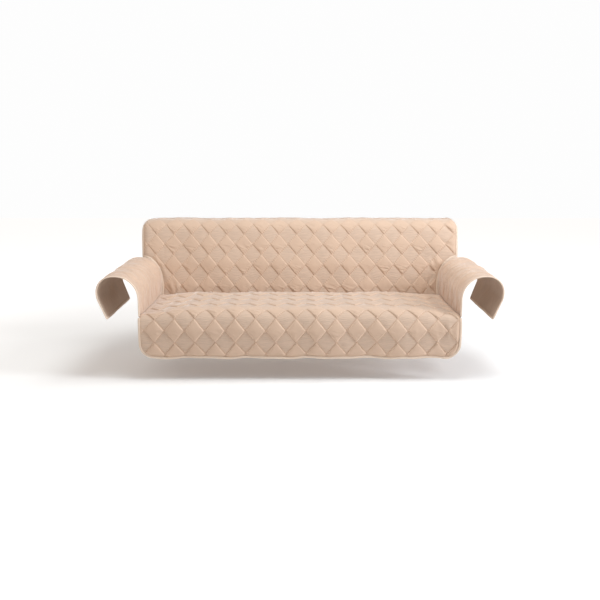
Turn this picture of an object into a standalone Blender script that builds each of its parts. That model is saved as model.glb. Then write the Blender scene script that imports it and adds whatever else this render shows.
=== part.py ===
"""Quilted sofa slipcover, in the shape in which it hangs on a rolled-arm sofa.

Metres, +Z up, the front faces -Y. The cover is hollow: the origin lies under the middle of the
back's top, on the underside of the cloth. The tables below give depths behind the tongue and
heights above the floor, and ORIGIN moves them into the part's own frame.

Each panel starts as a flat lattice whose edges run along the diamond stitching. The lattice is
trimmed to the panel's outline, draped over the form, and given its thickness by Solidify: thin at
the stitching, full in the middle of each diamond.
"""

import math
from collections import namedtuple

import bmesh
import bpy
import numpy as np

Corner = namedtuple("Corner", "place across height radius")
Crease = namedtuple("Crease", "place u s turn length width lift")

# Cloth and quilting
DIAMOND_WIDTH = 0.112
DIAMOND_HEIGHT = 0.133
PUFF_THICKNESS = 0.010
FLAT_PUFF_SHARE = 0.7
STITCH_THICKNESS = 0.0022
COLUMN_STEP = DIAMOND_WIDTH / 2
ROW_STEP = DIAMOND_HEIGHT / 4
SNAP_SHARE = 0.34
EDGE_COLUMN = 0.014
EDGE_SNAP = 0.028
EDGE_FLAT = 0.014
EDGE_TAPER = 0.030
WELD = 1e-5

# Folded edging, a tube a little off the cloth's edge
BINDING_RADIUS = 0.004
BINDING_GAP = 0.0008

# The run of the main panel, from the rear hem over the back and the seat to the tongue's hem
PANEL_RUN = (
    Corner("rear hem", 0.960, 0.465, 0.0),
    Corner("rear edge of the top", 0.960, 0.848, 0.055),
    Corner("front edge of the top", 0.729, 0.848, 0.100),
    Corner("belly of the back", 0.632, 0.590, 0.400),
    Corner("crevice", 0.5442, 0.2845, 0.012),
    Corner("rear of the seat", 0.536, 0.4135, 0.035),
    Corner("middle of the seat", 0.250, 0.406, 0.900),
    Corner("front edge of the seat", 0.000, 0.391, 0.050),
    Corner("tongue hem", 0.000, 0.134, 0.0),
)
REAR_HEM, REAR_TOP, FRONT_TOP, BELLY, CREVICE, SEAT_REAR, SEAT_MIDDLE, SEAT_FRONT, TONGUE_HEM = PANEL_RUN
BACK_HALF_TOP = 1.013
BACK_HALF_LOW = 1.000
SEAT_HALF_FRONT = 0.8868
SEAT_HALF_REAR = 0.8718
CREVICE_HALF = 0.8665
CREVICE_EASE = 0.060
TONGUE_CORNER = 0.075
REAR_CORNER = 0.060
HEM_ROW = 0.012
NODE_HEIGHT = 0.3535
NODE_COLUMN = -0.0225

# The notch in the back's side, which clears the arm's roll
NOTCH_TOP = 0.625
NOTCH_CENTRE = 0.430
NOTCH_DEPTH = BACK_HALF_LOW - CREVICE_HALF

# The cloth is pressed flat in the crevice
CREVICE_FLAT = 0.022
CREVICE_TAPER = 0.045

# The back's side edges roll away from the front, most of all at the top's corners
ROLL_WIDTH = 0.042
ROLL_REACH = 0.92
ROLL_SLOPE = 2.0
SIDE_ROLL = 0.012
TOP_ROLL = 0.028
TOP_BAND_MIDDLE = 0.090
TOP_BAND_HALF = 0.120

# The seat falls away towards its rear corners, and the tongue's hem ripples
DROOP_START = 0.600
DROOP_LEAD = 0.120
DROOP_REAR_EASE = 0.400
DROOP_TONGUE = 0.100
DROOP_FRONT_EASE = 0.200
SEAT_DROOP = 0.032
RIPPLE_HEIGHT = 0.0035
RIPPLE_LENGTH = 0.470

# Sections of the arm at its two ends, from the seat seam over the roll to the outer hem
ARM_FRONT_SECTION = (
    Corner("seat seam", 0.8895, 0.376, 0.0),
    Corner("inner shoulder", 0.8895, 0.5855, 0.125),
    Corner("outer shoulder", 1.1165, 0.5855, 0.088),
    Corner("outer side", 1.1165, 0.470, 0.110),
    Corner("outer hem", 1.0660, 0.3535, 0.0),
)
ARM_REAR_SECTION = (
    Corner("seat seam", 0.8745, 0.406, 0.0),
    Corner("inner shoulder", 0.8745, 0.6155, 0.125),
    Corner("outer shoulder", 1.1280, 0.6155, 0.100),
    Corner("outer side", 1.1280, 0.490, 0.110),
    Corner("outer hem", 1.0760, 0.3735, 0.0),
)
ARM_FRONT = 0.004
ARM_REAR = 0.640
ARM_REAR_GAP = 0.0190
SEAM_ROW = 0.014
SEAM_DROP = 0.004
SEAM_BLEND = 0.140

# Soft ridges and troughs: place on the flat panel, turn of the crease's line, half-sizes, height.
# The long panel's are measured from its crevice, the arms' from the seat seam.
CREASE_EASE = 0.050
PANEL_CREASES = (
    Crease("left gather, low", -0.790, -0.135, 0.9, 0.080, 0.028, 0.007),
    Crease("left gather, high", -0.850, -0.230, 1.2, 0.070, 0.028, 0.006),
    Crease("right pinch", 0.850, -0.280, 0.5, 0.090, 0.030, 0.010),
    Crease("right crease", 0.800, -0.150, -1.0, 0.120, 0.030, 0.008),
    Crease("right tuck, high", 0.940, -0.500, 0.1, 0.060, 0.028, -0.005),
    Crease("right tuck, low", 0.940, -0.410, -0.1, 0.060, 0.028, 0.005),
    Crease("seat wrinkle", 0.800, 0.160, 0.4, 0.110, 0.030, 0.006),
    Crease("seat corner fold", -0.780, 0.180, -0.3, 0.120, 0.035, 0.005),
)
ARM_CREASES = (
    Crease("front ripple", 0.130, 0.200, 1.45, 0.160, 0.030, 0.004),
    Crease("middle ripple", 0.300, 0.260, 1.60, 0.180, 0.030, 0.004),
    Crease("rear ripple", 0.450, 0.190, 1.50, 0.150, 0.030, -0.004),
)

ORIGIN = np.array((0.0, (FRONT_TOP.across + REAR_TOP.across) / 2, FRONT_TOP.height))


class Run:
    """A path of straight runs whose corners are turned by arcs, read by its length."""

    ARC_STEP = math.radians(4)

    def __init__(self, corners):
        points = [self._place(corners[0])]
        for before, corner, after in zip(corners, corners[1:], corners[2:]):
            points.extend(self._arc(self._place(before), corner, self._place(after)))
        points.append(self._place(corners[-1]))
        self.points = np.array(points)
        steps = np.linalg.norm(np.diff(self.points, axis=0), axis=1)
        self.lengths = np.concatenate(([0.0], np.cumsum(steps)))
        self.length = float(self.lengths[-1])

    @staticmethod
    def _place(corner):
        return np.array((corner.across, corner.height))

    def _arc(self, before, corner, after):
        """The points of the arc that touches both straight runs at this corner."""
        place = self._place(corner)
        arriving = (place - before) / np.linalg.norm(place - before)
        leaving = (after - place) / np.linalg.norm(after - place)
        turn = math.acos(float(np.clip(arriving @ leaving, -1.0, 1.0)))
        inward = (leaving - arriving) / np.linalg.norm(leaving - arriving)
        centre = place + inward * corner.radius / math.cos(turn / 2)
        count = max(2, math.ceil(turn / self.ARC_STEP))
        for angle in np.linspace(-turn / 2, turn / 2, count + 1):
            along = (arriving + leaving) / np.linalg.norm(arriving + leaving)
            yield centre + corner.radius * (along * math.sin(angle) - inward * math.cos(angle))

    def at(self, s):
        """Points at these lengths; past either end the last straight run goes on."""
        held = np.clip(s, 0.0, self.length)
        points = [np.interp(held, self.lengths, axis) for axis in self.points.T]
        first = self.points[1] - self.points[0]
        last = self.points[-1] - self.points[-2]
        ahead = np.maximum(s - self.length, 0.0)[..., None] * last / np.linalg.norm(last)
        behind = np.minimum(s, 0.0)[..., None] * first / np.linalg.norm(first)
        return np.stack(points, axis=-1) + ahead + behind

    def direction(self, s, reach=0.002):
        """The unit direction of travel at these lengths."""
        chord = self.at(s + reach) - self.at(s - reach)
        return chord / np.linalg.norm(chord, axis=-1, keepdims=True)

    def length_at(self, across, height):
        """The length of the path's point that lies nearest to this place."""
        dense = np.linspace(0.0, self.length, 4000)
        away = np.linalg.norm(self.at(dense) - (across, height), axis=1)
        return float(dense[np.argmin(away)])


def smooth_step(value):
    """0 below 0, 1 above 1, and a smooth rise between."""
    held = np.clip(value, 0.0, 1.0)
    return held * held * (3.0 - 2.0 * held)


def rolled(share):
    """How far a quarter circle of radius 1 falls away at this share of its width."""
    return 1.0 - np.sqrt(1.0 - share**2)


def crease_lift(creases, u, s):
    """The height that the creases add at each flat point: a long soft bell for each."""
    lift = np.zeros(np.broadcast(u, s).shape)
    for crease in creases:
        away_u, away_s = u - crease.u, s - crease.s
        along = away_u * math.cos(crease.turn) + away_s * math.sin(crease.turn)
        across = away_s * math.cos(crease.turn) - away_u * math.sin(crease.turn)
        bell = np.exp(-((along / crease.length) ** 2) - (across / crease.width) ** 2)
        lift += crease.lift * bell
    return lift


class MainPanel:
    """The long panel: u runs across the sofa, s along the panel from the rear hem."""

    def __init__(self):
        self.run = Run(PANEL_RUN)
        self.node = self.run.length_at(0.0, NODE_HEIGHT)
        self.top = self.run.length_at(FRONT_TOP.across, FRONT_TOP.height)
        self.crevice = self.run.length_at(CREVICE.across, CREVICE.height)
        self.seat_rear = self.run.length_at(SEAT_REAR.across, SEAT_REAR.height)
        self.front = self.run.length_at(SEAT_FRONT.across, SEAT_FRONT.height)
        self.arm_end = self.run.length_at(ARM_FRONT, SEAT_FRONT.height)

    def full_half_width(self, s):
        """Half the back's width, as if its sides had no notches."""
        height = self.run.at(s)[..., 1]
        flare = np.clip((height - NOTCH_TOP) / (FRONT_TOP.height - NOTCH_TOP), 0.0, 1.0)
        flared = BACK_HALF_LOW + (BACK_HALF_TOP - BACK_HALF_LOW) * flare
        return np.where(s < self.top, BACK_HALF_TOP, flared)

    def half_width(self, s):
        """Half the panel's width: full on the back, notched round the arm, narrow on the seat."""
        depth, height = np.moveaxis(self.run.at(s), -1, 0)
        level = np.clip((height - NOTCH_CENTRE) / (NOTCH_TOP - NOTCH_CENTRE), 0.0, 1.0)
        notch = np.where(s < self.top, 0.0, NOTCH_DEPTH * np.sqrt(1.0 - level**2))
        half = self.full_half_width(s) - notch
        rearward = np.clip((depth - ARM_FRONT) / (ARM_REAR - ARM_FRONT), 0.0, 1.0)
        seat = SEAT_HALF_FRONT + (SEAT_HALF_REAR - SEAT_HALF_FRONT) * rearward
        ease = smooth_step((s - self.crevice) / CREVICE_EASE)
        half = np.where(s > self.crevice, CREVICE_HALF + (seat - CREVICE_HALF) * ease, half)
        half -= rounded_corner(self.run.length - s, TONGUE_CORNER)
        return half - rounded_corner(s, REAR_CORNER)

    def edges(self, s):
        """The panel's two ends on each row."""
        half = self.half_width(s)
        return -half, half

    def rows(self):
        """Lattice rows from hem to hem, with one more close to each hem and at the notch's top."""
        notch = self.top + np.interp(
            -NOTCH_TOP,
            -self.run.at(np.linspace(self.top, self.crevice, 400))[:, 1],
            np.linspace(0.0, self.crevice - self.top, 400),
        )
        length = self.run.length
        extra = (0.0, HEM_ROW, notch, length - HEM_ROW, length)
        return lattice_rows(self.node, length, extra)

    def drape(self, u, s):
        """Points on the underside of the cloth, and the outward direction at each."""
        travel = self.run.direction(s)
        place = self.run.at(s)
        out = np.stack((np.zeros_like(s), travel[..., 1], -travel[..., 0]), axis=-1)
        rear = smooth_step((s - self.crevice + DROOP_LEAD) / DROOP_REAR_EASE)
        seat = rear * smooth_step((self.front + DROOP_TONGUE - s) / DROOP_FRONT_EASE)
        side = smooth_step((np.abs(u) - DROOP_START) / (SEAT_HALF_FRONT - DROOP_START))
        top = np.exp(-(((s - self.top + TOP_BAND_MIDDLE) / TOP_BAND_HALF) ** 4))
        share = (np.abs(u) - self.full_half_width(s)) / ROLL_WIDTH + 1.0
        roll = rolled(np.clip(share, 0.0, 1.0) * ROLL_REACH) / rolled(ROLL_REACH)
        roll += ROLL_SLOPE * np.maximum(share - 1.0, 0.0)
        hang = smooth_step((s - self.front) / (self.run.length - self.front))
        inside = smooth_step((self.half_width(s) - np.abs(u)) / CREASE_EASE)
        lift = crease_lift(PANEL_CREASES, u, s - self.crevice) * inside
        lift -= (SIDE_ROLL + (TOP_ROLL - SIDE_ROLL) * top) * roll
        lift += RIPPLE_HEIGHT * hang * np.sin(2 * math.pi * u / RIPPLE_LENGTH)
        points = np.stack((u, place[..., 0], place[..., 1] - SEAT_DROOP * seat * side), axis=-1)
        return points + out * lift[..., None] - ORIGIN, out

    def freedom(self, s):
        """How freely the quilting puffs out: not at all in the crevice, fully away from it."""
        return smooth_step((np.abs(s - self.crevice) - CREVICE_FLAT) / CREVICE_TAPER)

    def back_depth(self, height):
        """Depth of the back's face at these heights."""
        s = np.linspace(self.top, self.crevice, 400)
        place = self.run.at(s)[::-1]
        return np.interp(height, place[:, 1], place[:, 0])

    def seat_side_height(self, depth):
        """Height of the seat's side edge at these depths."""
        s = np.linspace(self.seat_rear, self.arm_end, 200)
        points = self.drape(self.half_width(s), s)[0] + ORIGIN
        return np.interp(depth, points[::-1, 1], points[::-1, 2])


class ArmPanel:
    """One arm's panel: u is the depth behind the tongue, s runs over the arm from the seat."""

    def __init__(self, main, side):
        self.main = main
        self.side = side
        self.front = Run(ARM_FRONT_SECTION)
        self.rear = Run(ARM_REAR_SECTION)
        self.length = self.front.length

    def edges(self, s):
        """The front edge, and the rear edge, which stops short of the back's sloping face."""
        height = self.rear.at(s * self.rear.length / self.length)[..., 1]
        rear = self.main.back_depth(height) - ARM_REAR_GAP
        return np.full_like(s, ARM_FRONT), rear

    def rows(self):
        """Lattice rows from the seat seam to the outer hem."""
        return lattice_rows(0.0, self.length, (0.0, SEAM_ROW, self.length))

    def freedom(self, s):
        """The arm's quilting puffs out fully everywhere."""
        return np.ones_like(s)

    def drape(self, u, s):
        """Points on the underside of the cloth, and the outward direction at each."""
        share = ((u - ARM_FRONT) / (ARM_REAR - ARM_FRONT))[..., None]
        rear_s = s * self.rear.length / self.length
        place = self.front.at(s) * (1.0 - share) + self.rear.at(rear_s) * share
        at_seam = self.front.points[0, 1] * (1.0 - share) + self.rear.points[0, 1] * share
        seam = self.main.seat_side_height(u) - SEAM_DROP
        blend = 1.0 - smooth_step(s / SEAM_BLEND)
        place[..., 1] += (seam - at_seam[..., 0]) * blend
        travel = self.front.direction(s)
        flat = np.zeros_like(s)
        out = np.stack((-travel[..., 1] * self.side, flat, travel[..., 0]), axis=-1)
        lift = crease_lift(ARM_CREASES, u, s) * smooth_step(s / SEAM_BLEND)
        points = np.stack((place[..., 0] * self.side, u, place[..., 1]), axis=-1)
        return points + out * lift[..., None] - ORIGIN, out


def rounded_corner(inside, radius):
    """How far a rounded corner draws the side in, at this distance from the hem."""
    rest = np.clip(radius - inside, 0.0, radius)
    return radius - np.sqrt(radius**2 - rest**2)


def lattice_rows(node, length, extra):
    """Row places a quarter of a diamond apart, counted from a stitched crossing, with extra rows."""
    first = math.ceil(-node / ROW_STEP)
    last = math.floor((length - node) / ROW_STEP)
    regular = node + np.arange(first, last + 1) * ROW_STEP
    clear = np.abs(regular[:, None] - np.array(extra)[None, :]).min(axis=1) > SNAP_SHARE * ROW_STEP
    return np.sort(np.concatenate((regular[clear], extra)))


class Lattice:
    """A flat panel's points: rows of columns, shifted by half a column on every other row."""

    def __init__(self, panel, node, column):
        self.panel = panel
        self.node = node
        self.column = column
        self.rows = panel.rows()
        low, high = panel.edges(self.rows)
        first = math.floor((low.min() - column) / COLUMN_STEP) - 2
        last = math.ceil((high.max() - column) / COLUMN_STEP) + 2
        shift = np.round((self.rows - node) / ROW_STEP) % 2 * COLUMN_STEP / 2
        u = column + np.arange(first, last + 1) * COLUMN_STEP + shift[:, None]
        low, high = low[:, None], high[:, None]
        beyond_low, beyond_high = u < low + EDGE_SNAP, u > high - EDGE_SNAP
        last_low = beyond_low & ~np.roll(beyond_low, -1, axis=1)
        first_high = beyond_high & ~np.roll(beyond_high, 1, axis=1)
        u = np.where(beyond_low, np.where(last_low, low + EDGE_COLUMN, low), u)
        self.u = np.where(beyond_high, np.where(first_high, high - EDGE_COLUMN, high), u)

    def outline(self):
        """The edge points in order: first row, high ends, last row backwards, low ends."""
        first = [(u, self.rows[0]) for u in np.unique(self.u[0])]
        last = [(u, self.rows[-1]) for u in np.unique(self.u[-1])[::-1]]
        high = [(row.max(), s) for row, s in zip(self.u[1:-1], self.rows[1:-1])]
        low = [(row.min(), s) for row, s in zip(self.u[1:-1], self.rows[1:-1])]
        return np.array(first + high + last + low[::-1])

    def fullness(self, u, s):
        """0 on the stitching, 1 in the middle of a full diamond, less in the flatter ones."""
        along = (s - self.node) / DIAMOND_HEIGHT
        rising = (u - self.column) / DIAMOND_WIDTH + along
        falling = (u - self.column) / DIAMOND_WIDTH - along
        height = np.sqrt(np.abs(np.sin(math.pi * rising) * np.sin(math.pi * falling)))
        is_flat = (np.floor(rising) + np.floor(falling)) % 2 == 0
        from_hem = np.minimum(s - self.rows[0], self.rows[-1] - s)
        low, high = self.panel.edges(s)
        inside = np.minimum(from_hem, np.minimum(u - low, high - u))
        pressed = smooth_step((inside - EDGE_FLAT) / EDGE_TAPER) * self.panel.freedom(s)
        return height * pressed * np.where(is_flat, FLAT_PUFF_SHARE, 1.0)


def clear_scene():
    """Remove every object that is in the scene."""
    for obj in list(bpy.data.objects):
        bpy.data.objects.remove(obj, do_unlink=True)


def make_material(name, colour, roughness):
    """A plain cloth material."""
    material = bpy.data.materials.new(name)
    material.use_nodes = True
    shader = material.node_tree.nodes["Principled BSDF"]
    shader.inputs["Base Color"].default_value = (*colour, 1.0)
    shader.inputs["Roughness"].default_value = roughness
    shader.inputs["Metallic"].default_value = 0.0
    material.diffuse_color = (*colour, 1.0)
    return material


def add_object(name, data, material, collection):
    """Put mesh or curve data into the scene as one named piece."""
    data.materials.append(material)
    obj = bpy.data.objects.new(name, data)
    collection.objects.link(obj)
    return obj


def make_quilted_panel(name, panel, lattice, material, collection):
    """A flat lattice, trimmed, split along its stitching, draped, and thickened outwards."""
    row_count, column_count = lattice.u.shape
    bm = bmesh.new()
    bmesh.ops.create_grid(bm, x_segments=column_count - 1, y_segments=row_count - 1, size=0.5)
    for vert in bm.verts:
        column = round((vert.co.x + 0.5) * (column_count - 1))
        row = round((vert.co.y + 0.5) * (row_count - 1))
        vert.co = (lattice.u[row, column], lattice.rows[row], 0.0)
    bmesh.ops.remove_doubles(bm, verts=bm.verts, dist=WELD)
    bmesh.ops.triangulate(bm, faces=bm.faces, quad_method="SHORT_EDGE")

    flat = np.array([vert.co[:2] for vert in bm.verts])
    fullness = lattice.fullness(flat[:, 0], flat[:, 1])
    points, out = panel.drape(flat[:, 0], flat[:, 1])
    for vert, point in zip(bm.verts, points):
        vert.co = point
    bm.normal_update()
    facing = sum(float(np.dot(vert.normal, away)) for vert, away in zip(bm.verts, out))
    if facing < 0.0:
        bmesh.ops.reverse_faces(bm, faces=bm.faces)

    mesh = bpy.data.meshes.new(name)
    bm.to_mesh(mesh)
    bm.free()
    mesh.shade_smooth()
    obj = add_object(name, mesh, material, collection)
    group = obj.vertex_groups.new(name="fullness")
    for index, weight in enumerate(fullness):
        group.add([index], float(weight), "REPLACE")
    solidify = obj.modifiers.new("Thickness", "SOLIDIFY")
    solidify.thickness = PUFF_THICKNESS
    solidify.offset = 1.0
    solidify.vertex_group = group.name
    solidify.thickness_vertex_group = STITCH_THICKNESS / PUFF_THICKNESS
    return obj


def offset_route(outline, keep, distance):
    """The kept stretch of a closed flat outline, moved outwards by this distance, mitred."""
    run = np.roll(outline, -1, axis=0) - outline
    run /= np.linalg.norm(run, axis=1, keepdims=True)
    out = np.stack((run[:, 1], -run[:, 0]), axis=1)
    mitre = out + np.roll(out, 1, axis=0)
    mitre /= np.linalg.norm(mitre, axis=1, keepdims=True)
    cosine = np.einsum("ij,ij->i", mitre, out)
    moved = outline + mitre * (distance / cosine)[:, None]
    start = int(np.flatnonzero(keep & ~np.roll(keep, 1))[0])
    order = np.roll(np.arange(len(outline)), -start)
    return moved[order[: int(keep.sum())]]


def make_binding(name, panel, lattice, keep, material, collection):
    """Folded edging along the kept stretch of a panel's edge, as a filled tube."""
    route = offset_route(lattice.outline(), keep, BINDING_RADIUS + BINDING_GAP)
    points, out = panel.drape(route[:, 0], route[:, 1])
    points = points + out * STITCH_THICKNESS / 2
    curve = bpy.data.curves.new(name, "CURVE")
    curve.dimensions = "3D"
    curve.bevel_depth = BINDING_RADIUS
    curve.bevel_resolution = 2
    curve.use_fill_caps = True
    spline = curve.splines.new("POLY")
    spline.points.add(len(points) - 1)
    spline.points.foreach_set("co", np.column_stack((points, np.ones(len(points)))).ravel())
    return add_object(name, curve, material, collection)


def main():
    """Build every piece of the slipcover."""
    clear_scene()
    collection = bpy.data.collections.new("sofa_slipcover")
    bpy.context.scene.collection.children.link(collection)
    cloth = make_material("quilted_cloth", (0.66, 0.49, 0.36), 0.90)
    edging = make_material("edging_cloth", (0.72, 0.57, 0.45), 0.85)

    main_panel = MainPanel()
    lattice = Lattice(main_panel, main_panel.node, NODE_COLUMN)
    make_quilted_panel("main_panel", main_panel, lattice, cloth, collection)
    along = lattice.outline()[:, 1]
    on_tongue = along > main_panel.front + 0.01
    on_back = along < main_panel.crevice - 0.02
    make_binding("binding_tongue", main_panel, lattice, on_tongue, edging, collection)
    make_binding("binding_back", main_panel, lattice, on_back, edging, collection)

    for name, side in (("left", -1), ("right", 1)):
        arm = ArmPanel(main_panel, side)
        lattice = Lattice(arm, 0.0, ARM_FRONT)
        make_quilted_panel(f"arm_panel_{name}", arm, lattice, cloth, collection)
        keep = lattice.outline()[:, 1] > 0.0
        make_binding(f"binding_arm_{name}", arm, lattice, keep, edging, collection)


main()
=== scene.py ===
"""The looks of a quilted sofa slipcover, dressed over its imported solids.

Every cloth panel is a surface of two lengths in metres: u runs across the panel, s along it. The
panel is drawn flat on the lattice of its diamond stitching, draped over the form in which it hangs,
and given its quilted relief along the outward direction. Each edging is one folded profile carried
along a panel's edge.

The frame: +Z up, the front faces -Y, the origin under the middle of the back's top. The tables give
depths behind the front and heights above the floor, and ORIGIN moves them into that frame.
"""

from __future__ import annotations

import logging
import math
from abc import ABC, abstractmethod
from dataclasses import dataclass, field, replace
from enum import Enum
from typing import ClassVar, Mapping, Sequence, TypeVar, Union

import bpy
import numpy as np
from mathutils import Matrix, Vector
from numpy.typing import NDArray

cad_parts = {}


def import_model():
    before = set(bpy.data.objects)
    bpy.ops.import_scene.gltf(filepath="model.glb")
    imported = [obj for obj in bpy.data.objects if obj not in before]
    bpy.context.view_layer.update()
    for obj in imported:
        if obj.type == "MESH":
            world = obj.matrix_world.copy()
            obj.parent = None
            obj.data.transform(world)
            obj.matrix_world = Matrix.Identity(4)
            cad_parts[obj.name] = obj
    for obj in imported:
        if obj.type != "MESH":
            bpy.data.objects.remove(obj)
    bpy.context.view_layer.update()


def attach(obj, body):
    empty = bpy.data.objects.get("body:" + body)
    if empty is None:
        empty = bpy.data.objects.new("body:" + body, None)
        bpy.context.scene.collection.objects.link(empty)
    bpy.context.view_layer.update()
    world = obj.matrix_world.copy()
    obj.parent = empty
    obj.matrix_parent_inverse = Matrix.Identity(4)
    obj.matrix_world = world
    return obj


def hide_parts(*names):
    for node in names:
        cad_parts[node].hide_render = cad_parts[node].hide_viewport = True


LOG = logging.getLogger("slipcover")
PLACE = "flat_place"
FULL_TURN = 2.0 * math.pi

Array = NDArray[np.float64]
Pair = tuple[float, float]
Place = tuple[float, float, float]
Colour = tuple[float, float, float]
ORIGIN = np.array((0.0, 0.8445, 0.848))


class Side(Enum):
    """Which arm a piece belongs to, seen from the front."""

    LEFT = -1
    RIGHT = 1


class Layer(Enum):
    """The faces of a quilted panel, by the finish that they take."""

    FACE = 0
    LINING = 1


# ---- Shader expressions ----


class Signal:
    """A number that varies over a surface, written into Python expressions as Math nodes."""

    def __init__(self, tree: bpy.types.NodeTree, socket: bpy.types.NodeSocket) -> None:
        """Wrap one output socket.

        Args:
            tree: The node tree that holds the socket.
            socket: The output whose value this is.
        """
        self.tree = tree
        self.socket = socket

    def math(self, operation: str, *values: "Number") -> "Signal":
        """Add one Math node.

        Args:
            operation: The Math node's operation.
            *values: Its inputs in order, numbers or signals.

        Returns:
            The node's value.
        """
        node = self.tree.nodes.new("ShaderNodeMath")
        node.operation = operation
        for socket, value in zip(node.inputs, values):
            if isinstance(value, Signal):
                self.tree.links.new(value.socket, socket)
            else:
                socket.default_value = value
        return Signal(self.tree, node.outputs[0])

    def __add__(self, other: "Number") -> "Signal":
        """Sum."""
        return self.math("ADD", self, other)

    __radd__ = __add__

    def __sub__(self, other: "Number") -> "Signal":
        """Difference."""
        return self.math("SUBTRACT", self, other)

    def __rsub__(self, other: "Number") -> "Signal":
        """Difference from a number."""
        return self.math("SUBTRACT", other, self)

    def __mul__(self, other: "Number") -> "Signal":
        """Product."""
        return self.math("MULTIPLY", self, other)

    def __truediv__(self, other: "Number") -> "Signal":
        """Quotient."""
        return self.math("DIVIDE", self, other)

    def floor(self) -> "Signal":
        """The whole number below."""
        return self.math("FLOOR", self)

    def sine(self) -> "Signal":
        """The sine of an angle in radians."""
        return self.math("SINE", self)

    def triangle(self) -> "Signal":
        """Distance to the nearest whole number, from 0 to a half."""
        return self.math("PINGPONG", self, 0.5)

    def least(self, other: "Number") -> "Signal":
        """The smaller of two values."""
        return self.math("MINIMUM", self, other)

    def most(self, other: "Number") -> "Signal":
        """The larger of two values."""
        return self.math("MAXIMUM", self, other)

    def power(self, exponent: float) -> "Signal":
        """The value raised to a power."""
        return self.math("POWER", self, exponent)

    def size(self) -> "Signal":
        """The value without its sign."""
        return self.math("ABSOLUTE", self)

    def rise(self, low: float, high: float) -> "Signal":
        """A smooth step.

        Args:
            low: Where it leaves 0.
            high: Where it reaches 1. If this is below low, the step falls.

        Returns:
            The step's value, from 0 to 1.
        """
        node = self.tree.nodes.new("ShaderNodeMapRange")
        node.interpolation_type = "SMOOTHSTEP"
        self.tree.links.new(self.socket, node.inputs["Value"])
        first, last = (0.0, 1.0) if low < high else (1.0, 0.0)
        settings = {"From Min": min(low, high), "From Max": max(low, high), "To Min": first, "To Max": last}
        for name, value in settings.items():
            node.inputs[name].default_value = value
        return Signal(self.tree, node.outputs["Result"])


Number = Union[Signal, float]
SocketValue = Union[Signal, float, Sequence[float]]
Length = TypeVar("Length", Array, Signal)


@dataclass(frozen=True)
class Grain:
    """Soft noise: its grains to a metre each way, its finer layers, and where it starts."""

    across: float
    along: float
    detail: float = 2.0
    roughness: float = 0.5
    start: float = 0.0


class Shading:
    """The nodes of a material or of the world, and the few ways in which they are added."""

    def __init__(self, owner: bpy.types.Material | bpy.types.World) -> None:
        """Start without nodes.

        Args:
            owner: The material or the world that the nodes belong to.
        """
        self.owner = owner
        owner.use_nodes = True
        self.tree = owner.node_tree
        self.tree.nodes.clear()

    def node(
        self,
        kind: str,
        settings: Mapping[str, object] | None = None,
        inputs: Mapping[str | int, SocketValue] | None = None,
    ) -> bpy.types.Node:
        """Add any node.

        Args:
            kind: The node's type.
            settings: The node's own properties, set first.
            inputs: Values or signals by socket name or number.

        Returns:
            The new node.
        """
        made = self.tree.nodes.new(kind)
        for name, value in (settings or {}).items():
            setattr(made, name, value)
        for name, value in (inputs or {}).items():
            if isinstance(value, Signal):
                self.tree.links.new(value.socket, made.inputs[name])
            else:
                made.inputs[name].default_value = value
        return made

    def out(self, node: bpy.types.Node, name: str | int) -> Signal:
        """One output of a node."""
        return Signal(self.tree, node.outputs[name])

    def place(self) -> tuple[Signal, Signal, Signal]:
        """The flat place stored on the mesh: two lengths and the distance from the edge."""
        stored = self.node("ShaderNodeAttribute", {"attribute_name": PLACE})
        split = self.node("ShaderNodeSeparateXYZ", None, {"Vector": self.out(stored, "Vector")})
        return self.out(split, "X"), self.out(split, "Y"), self.out(split, "Z")

    def noise(self, x: Number, y: Number, detail: float = 2.0, roughness: float = 0.5) -> Signal:
        """Soft noise over two lengths that are already scaled to its grain.

        Args:
            x: The first length, in grains.
            y: The second length, in grains.
            detail: How many finer layers are added.
            roughness: How strong those layers are.

        Returns:
            The noise, about a half.
        """
        at = self.node("ShaderNodeCombineXYZ", None, {"X": x, "Y": y, "Z": 0.0})
        grain = self.node(
            "ShaderNodeTexNoise",
            {"noise_dimensions": "2D"},
            {"Vector": self.out(at, "Vector"), "Scale": 1.0, "Detail": detail, "Roughness": roughness},
        )
        return self.out(grain, 0)

    def grain(self, kind: Grain, x: Signal, y: Signal) -> Signal:
        """Noise of a stated grain over two lengths in metres."""
        across = x * kind.across
        if kind.start:
            across = across + kind.start
        return self.noise(across, y * kind.along, kind.detail, kind.roughness)

    def mix(self, share: Number, first: Signal | Colour, second: Signal | Colour) -> Signal:
        """Blend two colours.

        Args:
            share: 0 for the first, 1 for the second.
            first: A colour.
            second: Another colour.

        Returns:
            The blend.
        """
        ends = [c if isinstance(c, Signal) else (*c, 1.0) for c in (first, second)]
        node = self.node(
            "ShaderNodeMix", {"data_type": "RGBA", "clamp_factor": True}, {0: share, 6: ends[0], 7: ends[1]}
        )
        return self.out(node, 2)

    def shade(self, colour: Signal, strength: Number) -> Signal:
        """A colour made lighter or darker by a factor."""
        node = self.node("ShaderNodeVectorMath", {"operation": "SCALE"}, {0: colour, "Scale": strength})
        return self.out(node, 0)

    def finish(
        self, colour: Signal, relief: Signal, fixed: Mapping[str, SocketValue], roughness: Number = 0.9
    ) -> bpy.types.Material:
        """Close the tree with a Principled shader.

        Args:
            colour: The base colour.
            relief: The height of the fine relief, in metres.
            fixed: Sockets with one value all over.
            roughness: The roughness.

        Returns:
            The finished material.
        """
        bump = self.node("ShaderNodeBump", None, {"Height": relief, "Distance": 1.0, "Strength": 1.0})
        inputs = {"Base Color": colour, "Roughness": roughness, "Normal": self.out(bump, "Normal")}
        surface = self.node("ShaderNodeBsdfPrincipled", None, {**fixed, **inputs})
        self.node("ShaderNodeOutputMaterial", None, {"Surface": self.out(surface, "BSDF")})
        return self.owner


# ---- Curves ----


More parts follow.
